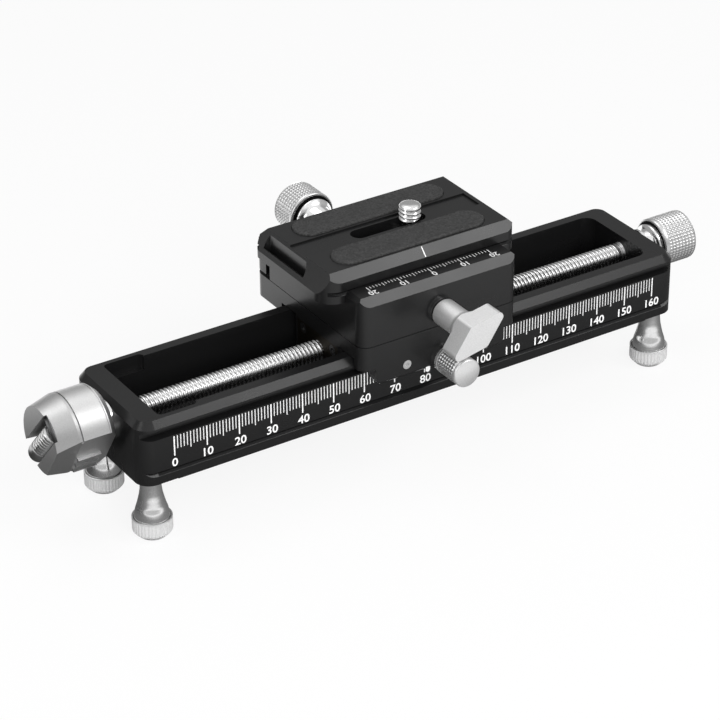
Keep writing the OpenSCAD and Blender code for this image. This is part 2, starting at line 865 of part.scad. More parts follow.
module gib_strip() {
    color(brass)
    translate([car_x, 0, 0])
    prism_x([
        [-way_face - gib_in_d, gib_z - gib_h_out / 2],
        [-half_w, gib_z - gib_h_out / 2],
        [-half_w + gib_reach, gib_z - gib_h_in / 2],
        [-half_w + gib_reach, gib_z + gib_h_in / 2],
        [-half_w, gib_z + gib_h_out / 2],
        [-way_face - gib_in_d, gib_z + gib_h_out / 2]
    ], gib_l);
}

module gib_screws() {
    color(steel)
    for (sx = [-1, 1]) {
        translate([car_x + sx * gib_screw_x, 0, gib_screw_z])
        difference() {
            bar_y(gib_screw_r, car_yf + slide_gap, -way_face - gib_in_d);
            translate([0, car_yf + slide_gap + gib_screw_l / 3, 0]) rotate([90, 0, 0])
                cylinder(r = gib_screw_r * socket_share, h = gib_screw_l, $fn = 6);
        }
    }
}

module travel_lock_washer() {
    color(silver)
    translate([lock_cx, 0, lock_z])
    difference() {
        bar_y(lock_r - slide_gap, car_yf - washer_gap - washer_t, car_yf - washer_gap);
        bar_y(lock_screw_r + run_gap, car_yf - over, car_yf + over);
    }
}

module travel_lock_knob() {
    color(silver)
    translate([lock_cx, lock_in, lock_z]) {
        rotate([0, 0, -90]) knob_x(lock_r, lock_l, 0, eps);
        bar_y(lock_screw_r, -eps, -half_w - lock_in - face_gap);
    }
}

module pan_spigot() {
    color(steel)
    translate([car_x, car_cy, 0])
    rotate_extrude($fn = fine_fn_share)
    polygon([
        [0, car_top - spigot_low],
        [spigot_r, car_top - spigot_low],
        [spigot_r, spigot_neck_z0],
        [spigot_r - spigot_neck_d, clamp_z],
        [spigot_r, spigot_neck_z1],
        [spigot_r, spigot_top],
        [0, spigot_top]
    ]);
}

module clamp_body() {
    color(black)
    difference() {
        translate([car_x, car_cy, 0]) round_block(car_l, car_d, car_corner_r, clamp_bot, shelf_z);
        span([car_x - over, body_yb, clamp_bot - over], [car_x + over, car_yb + over, shelf_z + over]);
        span([car_x - over, front_jaw_y, bed_z - face_gap], [car_x + over, car_yb + over, shelf_z + over]);
        prism_x([
            [car_yf - eps, shelf_z - shelf_bevel - eps],
            [car_yf + shelf_bevel + eps, shelf_z + eps],
            [car_yf - eps, shelf_z + eps]
        ], 4 * car_l);
        for (sx = [-1, 1]) {
            translate([car_x, car_cy, 0]) scale([sx, 1, 1]) prism_y([
                [car_l / 2 + eps, shelf_z - shelf_end_bevel - eps],
                [car_l / 2 + eps, shelf_z + eps],
                [car_l / 2 - shelf_end_bevel - eps, shelf_z + eps]
            ], 2 * car_d);
        }
        translate([car_x, car_cy, clamp_bot - eps]) cylinder(
            r = spigot_r + run_gap,
            h = spigot_top + slide_gap - clamp_bot + eps,
            $fn = fine_fn_share
        );
        translate([car_x, 0, clamp_z]) {
            bar_y(stud_r + thread_hole_gap, car_yf - eps, car_cy);
            bar_y(clamp_screw_r + thread_hole_gap, car_cy, body_yb + eps);
        }
        for (sx = [-1, 1]) {
            translate([car_x + sx * guide_x, 0, guide_z])
                bar_y(guide_r + run_gap, body_yb - 3 * guide_back, body_yb + eps);
        }
    }
    color(black)
    translate([car_x, 0, 0]) prism_x([
        [front_jaw_y - eps, groove_z0 + jaw_face_gap],
        [front_jaw_y, groove_z0 + jaw_face_gap],
        [front_jaw_y + jaw_tip_d, groove_z0 + jaw_face_gap + jaw_tip_d],
        [front_jaw_y + jaw_tip_d, shelf_z],
        [front_jaw_y - eps, shelf_z]
    ], car_l - 2 * car_corner_r);
}

module clamp_jaw() {
    color(black)
    difference() {
        union() {
            intersection() {
                translate([car_x, car_cy, 0]) round_block(car_l, car_d, car_corner_r, jaw_low_z, shelf_z);
                union() {
                    span([car_x - over, jaw_low_y, jaw_low_z], [car_x + over, car_yb + over, shelf_z]);
                    span([car_x - over, jaw_join_y, jaw_step_z], [car_x + over, car_yb + over, shelf_z]);
                    span([car_x - over, rear_jaw_y, bed_z + face_gap], [car_x + over, car_yb + over, shelf_z]);
                }
            }
            translate([car_x, 0, 0]) prism_x([
                [rear_jaw_y + eps, groove_z0 + jaw_face_gap],
                [rear_jaw_y, groove_z0 + jaw_face_gap],
                [rear_jaw_y - jaw_tip_d, groove_z0 + jaw_face_gap + jaw_tip_d],
                [rear_jaw_y - jaw_tip_d, shelf_z],
                [rear_jaw_y + eps, shelf_z]
            ], car_l - 2 * car_corner_r);
        }
        translate([car_x, 0, clamp_z]) bar_y(clamp_screw_r + 2 * face_gap, car_cy, car_yb + over);
        for (sx = [-1, 1]) {
            translate([car_x + sx * guide_x, 0, guide_z]) bar_y(guide_r, car_cy, car_yb - guide_back);
        }
    }
}

module jaw_guide_pins() {
    color(steel)
    for (sx = [-1, 1]) {
        translate([car_x + sx * guide_x, 0, guide_z])
            bar_y(guide_r, body_yb - 3 * guide_back + jaw_travel / 5, car_yb - guide_back);
    }
}

module clamp_screw() {
    color(steel)
    translate([car_x, 0, clamp_z])
        bar_y(clamp_screw_r, car_cy + spigot_r + 2 * washer_gap + eps, knob_y + clamp_knob_l / 2);
}

// Clamp knob with its neck, the polished collar ring and the dark groove between them
module clamp_knob() {
    color(silver)
    translate([car_x, 0, clamp_z])
    rotate([-90, 0, 0])
    rotate_extrude($fn = fine_fn_share)
    polygon([
        [clamp_screw_r, car_yb + face_gap],
        [knob_neck_r, car_yb + face_gap],
        [knob_neck_r, knob_y - ring_back],
        [knob_ring_r, knob_y - ring_front],
        [knob_ring_r, knob_y - collar_groove],
        [knob_neck_r, knob_y - collar_groove],
        [knob_neck_r, knob_y],
        [clamp_knob_r - knob_edge, knob_y],
        [clamp_knob_r, knob_y + knob_edge],
        [clamp_knob_r, knob_y + clamp_knob_l - knob_edge],
        [clamp_knob_r - knob_edge, knob_y + clamp_knob_l],
        [0, knob_y + clamp_knob_l],
        [0, knob_y + clamp_knob_l / 2],
        [clamp_screw_r, knob_y + clamp_knob_l / 2]
    ]);
}

module pan_lock_washer() {
    color(silver)
    translate([car_x, 0, clamp_z])
    difference() {
        bar_y(tee_r - tee_washer_in, car_yf - washer_gap - washer_t, car_yf - washer_gap);
        bar_y(stud_r + run_gap, car_yf - over, car_yf + over);
    }
}

// The wing's outline, seen from the front with Z up: four rounded corners and straight sides
module tee_outline() {
    offset(r = tee_tip_r) polygon(tee_pts);
}

module pan_lock_handle() {
    color(silver)
    translate([car_x, 0, clamp_z]) {
        translate([0, tee_yb, 0]) rotate([90, 0, 0]) linear_extrude(height = tee_t) tee_outline();
        bar_y(tee_r, tee_yb - eps, car_yf - 2 * washer_gap - washer_t);
        bar_y(stud_r, tee_yb, car_cy - stud_reach - stud_tip_l);
        translate([0, car_cy - stud_reach, 0]) rotate([90, 0, 0])
            cylinder(r1 = stud_r / 3, r2 = stud_r, h = stud_tip_l + eps);
    }
}

// The plate's outline from above, with a large front corner at the notched end
module plate_outline() {
    difference() {
        translate([plate_x0, plate_yf]) square([plate_x1 - plate_x0, plate_w]);
        corner_cut(plate_x0, plate_yf, tail_front_r, 1, 1);
        corner_cut(plate_x0, plate_yb, tail_back_r, 1, -1);
        corner_cut(plate_x1, plate_yf, end_r, -1, 1);
        corner_cut(plate_x1, plate_yb, end_r, -1, -1);
    }
}

// What a rounded corner takes away; the signs point from the corner into the outline
module corner_cut(x, y, r, sx, sy) {
    translate([x, y]) scale([sx, sy])
    difference() {
        translate([-eps, -eps]) square(r + eps);
        translate([r, r]) circle(r = r);
    }
}

// The cuts along one long side of the plate, for the low Y side about the plate's middle
module plate_side_cuts() {
    prism_x([
        [-plate_w / 2 - eps, plate_top - plate_bevel - eps],
        [-plate_w / 2 + plate_bevel + eps, plate_top + eps],
        [-plate_w / 2 - eps, plate_top + eps]
    ], 4 * plate_tail_l);
    prism_x([
        [-plate_w / 2 - eps, groove_z0],
        [-plate_w / 2, groove_z0],
        [-plate_w / 2 + plate_groove_h, groove_z1],
        [-plate_w / 2 - eps, groove_z1]
    ], 4 * plate_tail_l);
}

// A long hole with round ends along X
module long_hole(l, w, z0, z1) {
    translate([index_x, plate_cy, z0]) linear_extrude(height = z1 - z0) round_rect(l, w, w / 2 - eps);
}

module quick_plate() {
    color(black)
    difference() {
        translate([0, 0, bed_z]) linear_extrude(height = plate_t) plate_outline();
        translate([index_x, plate_cy, 0]) plate_side_cuts();
        translate([index_x, plate_cy, 0]) mirror([0, 1, 0]) plate_side_cuts();
        translate([0, plate_cy, 0]) prism_y([
            [plate_x0 - eps, groove_z0],
            [plate_x0, groove_z0],
            [plate_x0 + tail_slope, plate_top],
            [plate_x0 + tail_slope, plate_top + eps],
            [plate_x0 - eps, plate_top + eps]
        ], 2 * plate_w);
        translate([plate_x0, (notch_y0 + notch_y1) / 2, groove_z0])
            linear_extrude(height = over) round_rect(2 * notch_in, notch_y1 - notch_y0, notch_r);
        span(
            [plate_x0 - eps, plate_cy - channel_w / 2, plate_top - channel_d],
            [plate_x1 - channel_out, plate_cy + channel_w / 2, plate_top + over]
        );
        translate([0, plate_cy, 0]) prism_y([
            [plate_x1 + eps, plate_top - end_bevel - eps],
            [plate_x1 + eps, plate_top + eps],
            [plate_x1 - end_bevel - eps, plate_top + eps]
        ], 2 * plate_w);
        long_hole(plate_slot_l, plate_slot_w, bed_z - over, plate_top + over);
        long_hole(plate_slot_l + head_slot_w - plate_slot_w, head_slot_w, bed_z - over, bed_z + head_slot_z);
        for (sy = [-1, 1]) {
            translate([index_x, plate_cy + sy * pad_cy, plate_top - pad_sink])
                linear_extrude(height = over) round_rect(pad_l + 2 * pad_gap, pad_w + 2 * pad_gap, pad_w / 2);
        }
    }
}

// A rubber pad in its recess beside the channel
module plate_pad(sy) {
    translate([index_x, plate_cy + sy * pad_cy, plate_top - pad_sink])
        linear_extrude(height = pad_sink + pad_proud) round_rect(pad_l, pad_w, pad_w / 2 - eps);
}

module front_pad() {
    color(rubber) plate_pad(-1);
}

module rear_pad() {
    color(rubber) plate_pad(1);
}

module camera_screw() {
    color(steel)
    translate([cam_px, plate_cy, 0])
    difference() {
        rotate_extrude($fn = fine_fn_share)
        polygon([
            [0, cam_head_z],
            [cam_head_r, cam_head_z],
            [cam_head_r, cam_head_z + cam_head_t],
            [cam_neck_r, cam_head_z + cam_head_t],
            [cam_neck_r, cam_thread_z - cam_lead],
            [cam_r, cam_thread_z],
            [cam_r, cam_top - cam_round],
            [cam_r - cam_round, cam_top],
            [0, cam_top]
        ]);
        translate([0, 0, cam_head_z - eps]) cylinder(r = cam_neck_r, h = cam_head_t, $fn = 6);
    }
}

module camera_screw_clip() {
    color(steel)
    translate([cam_px, plate_cy, bed_z + head_slot_z - clip_t - face_gap])
    difference() {
        cylinder(r = clip_r, h = clip_t);
        translate([0, 0, -eps]) cylinder(r = cam_neck_r + run_gap, h = clip_t + 2 * eps);
    }
}

rail_body();
left_bearing();
right_bearing();
lead_screw();
crank_barrel();
crank_head();
crank_pin();
crank_arm();
crank_grip();
fine_collar();
fine_knob();
foot_stem_fl();
foot_stem_fr();
foot_stem_bl();
foot_stem_br();
foot_cup_fl();
foot_cup_fr();
foot_cup_bl();
foot_cup_br();
carriage();
lead_nut();
nut_screws();
gib_strip();
gib_screws();
travel_lock_knob();
travel_lock_washer();
pan_spigot();
clamp_body();
clamp_jaw();
jaw_guide_pins();
clamp_knob();
clamp_screw();
pan_lock_handle();
pan_lock_washer();
quick_plate();
front_pad();
rear_pad();
camera_screw();
camera_screw_clip();
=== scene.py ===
"""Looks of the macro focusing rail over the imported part. Sizes are in mm, and Blender gets metres."""
import math

import bmesh
import bpy
from mathutils import Matrix, Vector, noise

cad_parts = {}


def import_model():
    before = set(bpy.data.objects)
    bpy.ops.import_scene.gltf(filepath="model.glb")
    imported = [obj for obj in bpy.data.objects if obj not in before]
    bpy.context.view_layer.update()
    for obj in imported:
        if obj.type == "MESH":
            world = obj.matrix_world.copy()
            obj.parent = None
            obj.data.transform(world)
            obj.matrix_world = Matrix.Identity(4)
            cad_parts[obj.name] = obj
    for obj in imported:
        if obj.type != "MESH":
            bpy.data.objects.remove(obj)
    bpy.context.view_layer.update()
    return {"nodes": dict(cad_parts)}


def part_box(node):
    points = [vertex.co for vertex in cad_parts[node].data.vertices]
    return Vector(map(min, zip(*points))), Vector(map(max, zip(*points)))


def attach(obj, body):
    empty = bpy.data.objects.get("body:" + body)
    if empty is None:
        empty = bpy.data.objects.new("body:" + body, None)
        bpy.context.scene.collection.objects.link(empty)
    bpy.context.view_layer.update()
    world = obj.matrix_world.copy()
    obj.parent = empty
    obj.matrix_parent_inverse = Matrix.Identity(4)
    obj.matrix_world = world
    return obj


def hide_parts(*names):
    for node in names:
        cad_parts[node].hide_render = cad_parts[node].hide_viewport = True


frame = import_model()
NODES = frame["nodes"]
MM = 0.001


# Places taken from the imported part

def box_mm(node):
    """A node's lowest and highest corners at rest."""
    return [[round(value / MM, 3) for value in corner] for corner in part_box(node)]


def middle(node):
    """The middle of a node's box at rest."""
    low, high = box_mm(node)
    return [(a + b) / 2 for a, b in zip(low, high)]


CARRIAGE_X = middle("carriage")[0]
CARRIAGE_FRONT = box_mm("carriage")[0][1]
SCREW_Z = middle("fine_knob")[2]
CLAMP_Z = middle("clamp_knob")[2]
RAIL_FRONT = box_mm("rail_body")[0][1]
PLATE_LOW = box_mm("quick_plate")[0]
PLATE_Y = middle("quick_plate")[1]
SHELF_Z = box_mm("clamp_body")[1][2]
SOLE_Z = box_mm("foot_cup_fl")[0][2]


# Sizes that several pieces share

SLOT_ANGLE = math.radians(47.8)
TOWARDS_OPENING = Vector((0.0, math.cos(SLOT_ANGLE), -math.sin(SLOT_ANGLE)))
ACROSS_SLOT = Vector((0.0, math.sin(SLOT_ANGLE), math.cos(SLOT_ANGLE)))
ALONG_RAIL = (1, 0, 0)
TOWARDS_CRANK = (-1, 0, 0)
BACKWARDS = (0, 1, 0)
FORWARDS = (0, -1, 0)
UPWARDS = (0, 0, 1)
DOWNWARDS = (0, 0, -1)
FULL_TURN = 2 * math.pi
KNURL_SAMPLES = 6
KNURL_VALLEY_SHARE = 0.34
KNOB_EDGE = 0.35
JOURNAL_R = 2.9
STEM_R = 4.95
WASHER_GAP = 0.1
MARK_HEIGHT = 0.012
SLACK = 1e-6
MERGE_M = 1e-7
SHARP_ANGLE = 50

# Widths of the rounded edges of solids that are shown as packed. The other solids keep sharp edges.
EDGE_WIDTHS = {
    "rail_body": 0.3,
    "carriage": 0.3,
    "clamp_body": 0.25,
    "quick_plate": 0.16,
    "crank_barrel": 0.2,
    "crank_head": 0.25,
    "pan_lock_handle": 0.45,
    "gib_screws": 0.12,
    "nut_screws": 0.05,
    "camera_screw_clip": 0.05,
    "lead_nut": 0.1,
    "pan_spigot": 0.1,
    "jaw_guide_pins": 0.1,
    "left_bearing": 0.1,
    "right_bearing": 0.1,
    "travel_lock_washer": 0.1,
    "pan_lock_washer": 0.1,
}


# Materials

GRAINS_PER_M = 2500.0
GRAIN_DETAIL = 3.0
GRAIN_HEIGHT_M = 0.00003
DARK_GRAIN, LIGHT_GRAIN = 0.3, 0.7
PATCHES_PER_M = GRAINS_PER_M / 40.0
PATCH_DETAIL = 2.0


def new_material(name):
    material = bpy.data.materials.new(name)
    material.use_nodes = True
    return material, material.node_tree, material.node_tree.nodes["Principled BSDF"]


def feed(tree, node, inputs):
    """Gives each named or numbered input a value, or links another node's output to it."""
    for socket, value in inputs.items():
        if isinstance(value, bpy.types.NodeSocket):
            tree.links.new(value, node.inputs[socket])
        else:
            node.inputs[socket].default_value = value


def shader(tree, kind, inputs, **settings):
    """A new shader node with its settings and its inputs."""
    node = tree.nodes.new("ShaderNode" + kind)
    for name, value in settings.items():
        setattr(node, name, value)
    feed(tree, node, inputs)
    return node


def ramp(tree, factor, stops):
    """The colours of a ramp whose stops are (position, colour)."""
    node = shader(tree, "ValToRGB", {"Fac": factor})
    elements = node.color_ramp.elements
    for element, (position, colour) in zip(elements, (stops[0], stops[-1])):
        element.position = position
        element.color = (*colour, 1.0)
    for position, colour in stops[1:-1]:
        elements.new(position).color = (*colour, 1.0)
    return node.outputs["Color"]


def mix_shaders(tree, share, first, second):
    return shader(tree, "MixShader", {"Fac": share, 1: first, 2: second}).outputs["Shader"]


def noise_in(tree, place, scale, detail):
    return shader(tree, "TexNoise", {"Vector": place, "Scale": scale, "Detail": detail}).outputs["Fac"]


def grey(shade):
    return (shade, shade, shade)


def metal(name, colour, rough, metallic=1.0, bump=0.05, vary=0.06, specular=0.5, tone=0.05):
    """A metal or coated surface with fine grain in its colour, gloss and relief."""
    material, tree, surface = new_material(name)
    place = shader(tree, "TexCoord", {}).outputs["Object"]
    grain = noise_in(tree, place, GRAINS_PER_M, GRAIN_DETAIL)
    patches = noise_in(tree, place, PATCHES_PER_M, PATCH_DETAIL)
    gloss = shader(tree, "MapRange", {"Value": patches, "To Min": rough - vary, "To Max": rough + vary})
    relief = shader(tree, "Bump", {"Height": grain, "Strength": bump, "Distance": GRAIN_HEIGHT_M})
    darker = [value * (1.0 - tone) for value in colour]
    lighter = [value * (1.0 + tone) for value in colour]
    feed(tree, surface, {
        "Base Color": ramp(tree, grain, [(DARK_GRAIN, darker), (LIGHT_GRAIN, lighter)]),
        "Roughness": gloss.outputs["Result"],
        "Normal": relief.outputs["Normal"],
        "Metallic": metallic,
        "Specular IOR Level": specular,
    })
    return material


def darker_inside(name, source, low, high, centre=(0.0, 0.0, 0.0)):
    """A copy of a coated surface whose gloss fades inside a box, mirrored about a centre: painted shade for
    a narrow groove that lies in shadow.
    """
    shaded_specular = 0.04
    material = source.copy()
    material.name = name
    tree = material.node_tree
    surface = tree.nodes["Principled BSDF"]
    place = shader(tree, "TexCoord", {}).outputs["Object"]
    shift = shader(tree, "VectorMath", {0: place, 1: [c * MM for c in centre]}, operation="SUBTRACT")
    size = shader(tree, "VectorMath", {0: shift.outputs["Vector"]}, operation="ABSOLUTE")
    parts = shader(tree, "SeparateXYZ", {"Vector": size.outputs["Vector"]})
    tests = []
    for axis, lowest, highest in zip("XYZ", low, high):
        for limit, kind in ((lowest, "GREATER_THAN"), (highest, "LESS_THAN")):
            test = shader(tree, "Math", {0: parts.outputs[axis], 1: limit * MM}, operation=kind)
            tests.append(test.outputs[0])
    inside = tests[0]
    for test in tests[1:]:
        inside = shader(tree, "Math", {0: inside, 1: test}, operation="MULTIPLY").outputs[0]
    full = surface.inputs["Specular IOR Level"].default_value
    fade = shader(tree, "MapRange", {"Value": inside, "To Min": full, "To Max": shaded_specular})
    feed(tree, surface, {"Specular IOR Level": fade.outputs["Result"]})
    return material


def rubber(name):
    """Pebbled dark rubber."""
    pebbles_per_m, detail, height_m, bump = 1500.0, 4.0, 0.0001, 0.4
    stops = [(0.35, grey(0.02)), (0.7, grey(0.05))]
    least_rough, most_rough, specular = 0.5, 0.75, 0.35
    material, tree, surface = new_material(name)
    place = shader(tree, "TexCoord", {}).outputs["Object"]
    pebbles = noise_in(tree, place, pebbles_per_m, detail)
    gloss = shader(tree, "MapRange", {"Value": pebbles, "To Min": least_rough, "To Max": most_rough})
    relief = shader(tree, "Bump", {"Height": pebbles, "Strength": bump, "Distance": height_m})
    feed(tree, surface, {
        "Base Color": ramp(tree, pebbles, stops),
        "Roughness": gloss.outputs["Result"],
        "Normal": relief.outputs["Normal"],
        "Specular IOR Level": specular,
    })
    return material


# Corners of the boxes in which the black of the rail and of the plate loses its gloss, as painted shade in
# grooves that lie in shadow
NO_LIMIT = -1.0
RAIL_GROOVE_SHADE_BOX = ((NO_LIMIT, 17.3, 2.72), (84.5, 18.8, 4.04))
PLATE_GROOVE_SHADE_BOX = ((NO_LIMIT, 16.9, 37.32), (40.0, 18.5, 38.58))

BLACK = metal("black_anodised", (0.007, 0.007, 0.0072), rough=0.29, metallic=0.0, bump=0.2, specular=0.38)
# A dull black that is painted shade, put in gaps and on recess floors that lie in shadow
BLACK_SHADE = metal("black_painted_shade", grey(0.006), rough=0.45, metallic=0.0, bump=0.2, specular=0.3)
# Copies of the black with painted shade in the rail's lower groove and in the plate's groove
BLACK_RAIL_GROOVE_SHADE = darker_inside("black_anodised_rail_groove_shade", BLACK, *RAIL_GROOVE_SHADE_BOX)
BLACK_PLATE_GROOVE_SHADE = darker_inside("black_anodised_plate_groove_shade", BLACK, *PLATE_GROOVE_SHADE_BOX, centre=(0.0, PLATE_Y, 0.0))
SATIN = metal("satin_aluminium", grey(0.78), rough=0.44, metallic=0.78, bump=0.3)
CRANK = metal("crank_aluminium", grey(0.64), rough=0.44, bump=0.3)
# A darker copy of the crank's aluminium: painted shade for the head's cone.
CRANK_HEAD_SHADED = metal("crank_head_aluminium_shaded", grey(0.52), rough=0.46, bump=0.3)
KNURL = metal("knurled_aluminium", grey(0.62), rough=0.34, metallic=0.9, bump=0.2)
CUP = metal("foot_aluminium", grey(0.86), rough=0.5, metallic=0.45, bump=0.2)
POLISH = metal("polished_aluminium", grey(0.84), rough=0.14, vary=0.03)
STEEL = metal("turned_steel", grey(0.7), rough=0.24, bump=0.15)
DARK = metal("dark_steel", (0.14, 0.14, 0.142), rough=0.4, bump=0.2)
CAP = metal("handle_cap", grey(0.4), rough=0.3, bump=0.15)
BRASS = metal("nut_brass", (0.06, 0.052, 0.04), rough=0.42, bump=0.2)
WHITE = metal("scale_white", grey(0.86), rough=0.5, metallic=0.0, bump=0.1, tone=0.03)
FINE_WHITE = metal("scale_fine_white", grey(0.72), rough=0.5, metallic=0.0, bump=0.1, tone=0.03)
RUBBER = rubber("pad_rubber")


# Tools for meshes

def to_metres(points):
    return [tuple(c * MM for c in point) for point in points]


def new_object(name, mesh):
    made = bpy.data.objects.new(name, mesh)
    bpy.context.collection.objects.link(made)
    return made


def smooth(mesh, angle):
    """Smooth shading with sharp edges above an angle in degrees."""
    for face in mesh.polygons:
        face.use_smooth = True
    mesh.set_sharp_from_angle(angle=math.radians(angle))


def piece_from(name, points, faces, material, angle=None):
    """A piece of points in mm; it is shaded smooth where an angle is given."""
    mesh = bpy.data.meshes.new(name)
    mesh.from_pydata(to_metres(points), [], faces)
    work = bmesh.new()
    work.from_mesh(mesh)
    bmesh.ops.remove_doubles(work, verts=work.verts, dist=MERGE_M)
    bmesh.ops.recalc_face_normals(work, faces=work.faces)
    work.to_mesh(mesh)
    work.free()
    mesh.materials.append(material)
    if angle:
        smooth(mesh, angle)
    return new_object(name, mesh)


def across(direction):
    """A direction's unit vector, and two that stand square to it."""
    nearly_upright = 0.9
    along = Vector(direction).normalized()
    helper = Vector(ALONG_RAIL if abs(along.z) >= nearly_upright else UPWARDS)
    first = along.cross(helper).normalized()
    return along, first, along.cross(first).normalized()


def turned(name, origin, direction, rows, material, around, relief=None, angle=SHARP_ANGLE):
    """A turned piece of (distance, radius) rows. relief(turn, distance, radius) changes a radius."""
    along, first, second = across(direction)
    start = Vector(origin)
    points, rings = [], []
    for distance, radius in rows:
        if radius == 0.0:
            rings.append([len(points)])
            points.append(start + along * distance)
            continue
        rings.append(list(range(len(points), len(points) + around)))
        for i in range(around):
            turn = FULL_TURN * i / around
            r = relief(turn, distance, radius) if relief else radius
            points.append(start + along * distance + (first * math.cos(turn) + second * math.sin(turn)) * r)
    faces = []
    for ring, following in zip(rings, rings[1:]):
        for i in range(around):
            j = (i + 1) % around
            if len(ring) == 1:
                faces.append((ring[0], following[i], following[j]))
            elif len(following) == 1:
                faces.append((ring[i], ring[j], following[0]))
            else:
                faces.append((ring[i], ring[j], following[j], following[i]))
    return piece_from(name, points, faces, material, angle)


def between(start, end, steps):
    return [start + (end - start) * i / steps for i in range(steps + 1)]


def valley(cells, share):
    """0 at the bottom of a knurl's valley, 1 on its land, for a place counted in cells."""
    return min(1.0, abs(cells - round(cells)) / share)


def grid_knurl(start, end, cells_around, cells_along, depth):
    """The relief of straight teeth that are crossed by rings."""
    def relief(turn, distance, radius):
        if distance < start - SLACK or distance > end + SLACK:
            return radius
        tooth = valley(turn * cells_around / FULL_TURN, KNURL_VALLEY_SHARE)
        ring = valley((distance - start) / (end - start) * cells_along, KNURL_VALLEY_SHARE)
        return radius - depth * (1.0 - min(tooth, ring))
    return relief


def straight_knurl(start, end, cells_around, depth):
    """The relief of straight ribs that fade at their ends."""
    run_out, valley_share = 0.3, 0.4

    def relief(turn, distance, radius):
        if distance < start - SLACK or distance > end + SLACK:
            return radius
        fade = max(0.0, min(1.0, (distance - start) / run_out, (end - distance) / run_out))
        return radius - depth * fade * (1.0 - valley(turn * cells_around / FULL_TURN, valley_share))
    return relief


def knurled(name, origin, direction, before, span, after, radius, cells, depth):
    """A knob that is knurled over a span, with the rows before and after it."""
    cells_around, cells_along = cells
    rows = before + [(a, radius) for a in between(*span, cells_along * KNURL_SAMPLES)] + after
    relief = grid_knurl(*span, cells_around, cells_along, depth)
    return turned(name, origin, direction, rows, KNURL, around=cells_around * KNURL_SAMPLES, relief=relief)


def knob_near_edge(start, knurl_start, radius):
    """The rows of a knob's near edge, up to its knurl."""
    land = 0.1
    return [(start, radius - KNOB_EDGE), (start + KNOB_EDGE, radius), (knurl_start - land, radius)]


def knob_far_edge(knurl_end, end, radius):
    """The rows from a knob's knurl over its far edge to the middle of its face."""
    land, step, bevel = 0.15, 0.1, 0.55
    return [(knurl_end + land, radius - step), (end, radius - bevel), (end, 0.0)]


def paint(piece, material, chosen):
    """Gives a material to the faces whose middle, in mm, is chosen."""
    piece.data.materials.append(material)
    index = len(piece.data.materials) - 1
    for face in piece.data.polygons:
        if chosen(face.center / MM):
            face.material_index = index


def ride(piece, body, slot, *nodes):
    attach(piece, body)
    if nodes:
        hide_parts(*nodes)


# Solids that are shown as packed

def give(node, material, segments=2):
    """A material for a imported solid, and rounded edges where EDGE_WIDTHS names it."""
    rounded_above = 32
    solid = NODES[node]
    for slot in solid.material_slots:
        slot.link = "OBJECT"
        slot.material = material
    if node in EDGE_WIDTHS:
        bevel = solid.modifiers.new("edge", "BEVEL")
        bevel.width = EDGE_WIDTHS[node] * MM
        bevel.segments = segments
        bevel.limit_method = "ANGLE"
        bevel.angle_limit = math.radians(rounded_above)
        bevel.harden_normals = True


def shown_as_packed():
    give("rail_body", BLACK_RAIL_GROOVE_SHADE)
    give("quick_plate", BLACK_PLATE_GROOVE_SHADE)
    give("crank_barrel", CRANK)
    give("crank_head", CRANK_HEAD_SHADED)
    give("pan_lock_handle", SATIN, segments=3)
    give("nut_screws", DARK)
    for node in ("carriage", "clamp_body"):
        give(node, BLACK)
    for node in ("lead_nut", "gib_strip"):
        give(node, BRASS)
    for node in ("crank_pin", "clamp_screw", "camera_screw_clip", "pan_spigot", "jaw_guide_pins"):
        give(node, STEEL)
    for node in ("gib_screws", "left_bearing", "right_bearing", "travel_lock_washer", "pan_lock_washer"):
        give(node, POLISH)


# The screw and its knobs

def lead_screw():
    """The screw's thread, between the journals that run in the bearings."""
    pitch, crest_r, depth, sharpness = 1.25, 3.5, 0.62, 1.3
    shoulder_r, shoulder = 3.2, 0.3
    half, plain, run_in = 81.95, 1.0, pitch
    crank_tip, knob_tip = -102.75, 102.4
    rows_per_pitch = 9

    def thread(turn, x, radius):
        room = half - plain - abs(x)
        if room < 0:
            return radius
        phase = (x / pitch - turn / FULL_TURN) % 1.0
        return radius - depth * min(1.0, room / run_in) * (1.0 - math.sin(math.pi * phase)) ** sharpness

    rows = [(crank_tip, 0.0), (crank_tip, JOURNAL_R), (-half, JOURNAL_R), (-half, shoulder_r)]
    for x in between(-half, half, int(2 * half / pitch * rows_per_pitch)):
        rows.append((x, crest_r if abs(x) < half - shoulder else shoulder_r))
    rows += [(half, JOURNAL_R), (knob_tip, JOURNAL_R), (knob_tip, 0.0)]
    origin = (0, 0, SCREW_Z)
    screw = turned("lead_screw_thread", origin, ALONG_RAIL, rows, STEEL, around=40, relief=thread, angle=80)
    ride(screw, "screw", "steel", "lead_screw")


def fine_knob():
    """The knurled knob at the rail's far end, with a dark ring of painted shade on the floor of its recess.
    """
    low, high = box_mm("fine_knob")
    origin = (low[0], 0, SCREW_Z)
    length, radius = high[0] - low[0], high[1]
    knurl_start, knurl_to_face, cells, depth = 1.5, 0.5, (46, 8), 0.26
    span = (knurl_start, length - knurl_to_face)
    recess_in, recess_out, recess_depth, lip = 5.9, 6.75, 0.5, 0.05
    before = [(0, JOURNAL_R), (0, recess_in), (recess_depth, recess_in), (recess_depth, recess_out)]
    before += [(0, recess_out + lip)] + knob_near_edge(0, span[0], radius)
    after = knob_far_edge(span[1], length, radius)
    knob = knurled("fine_knob_knurl", origin, ALONG_RAIL, before, span, after, radius, cells, depth)
    ride(knob, "screw", "silver", "fine_knob")

    # A dark ring of painted shade on the floor of the recess.
    inner, outer, top, bottom = recess_in + lip, recess_out - lip, 0.02, 0.1
    rows = [(top, inner), (bottom, inner), (bottom, outer), (top, outer)]
    ride(turned("fine_knob_recess_shade", origin, ALONG_RAIL, rows, BLACK_SHADE, around=64), "screw", "black")


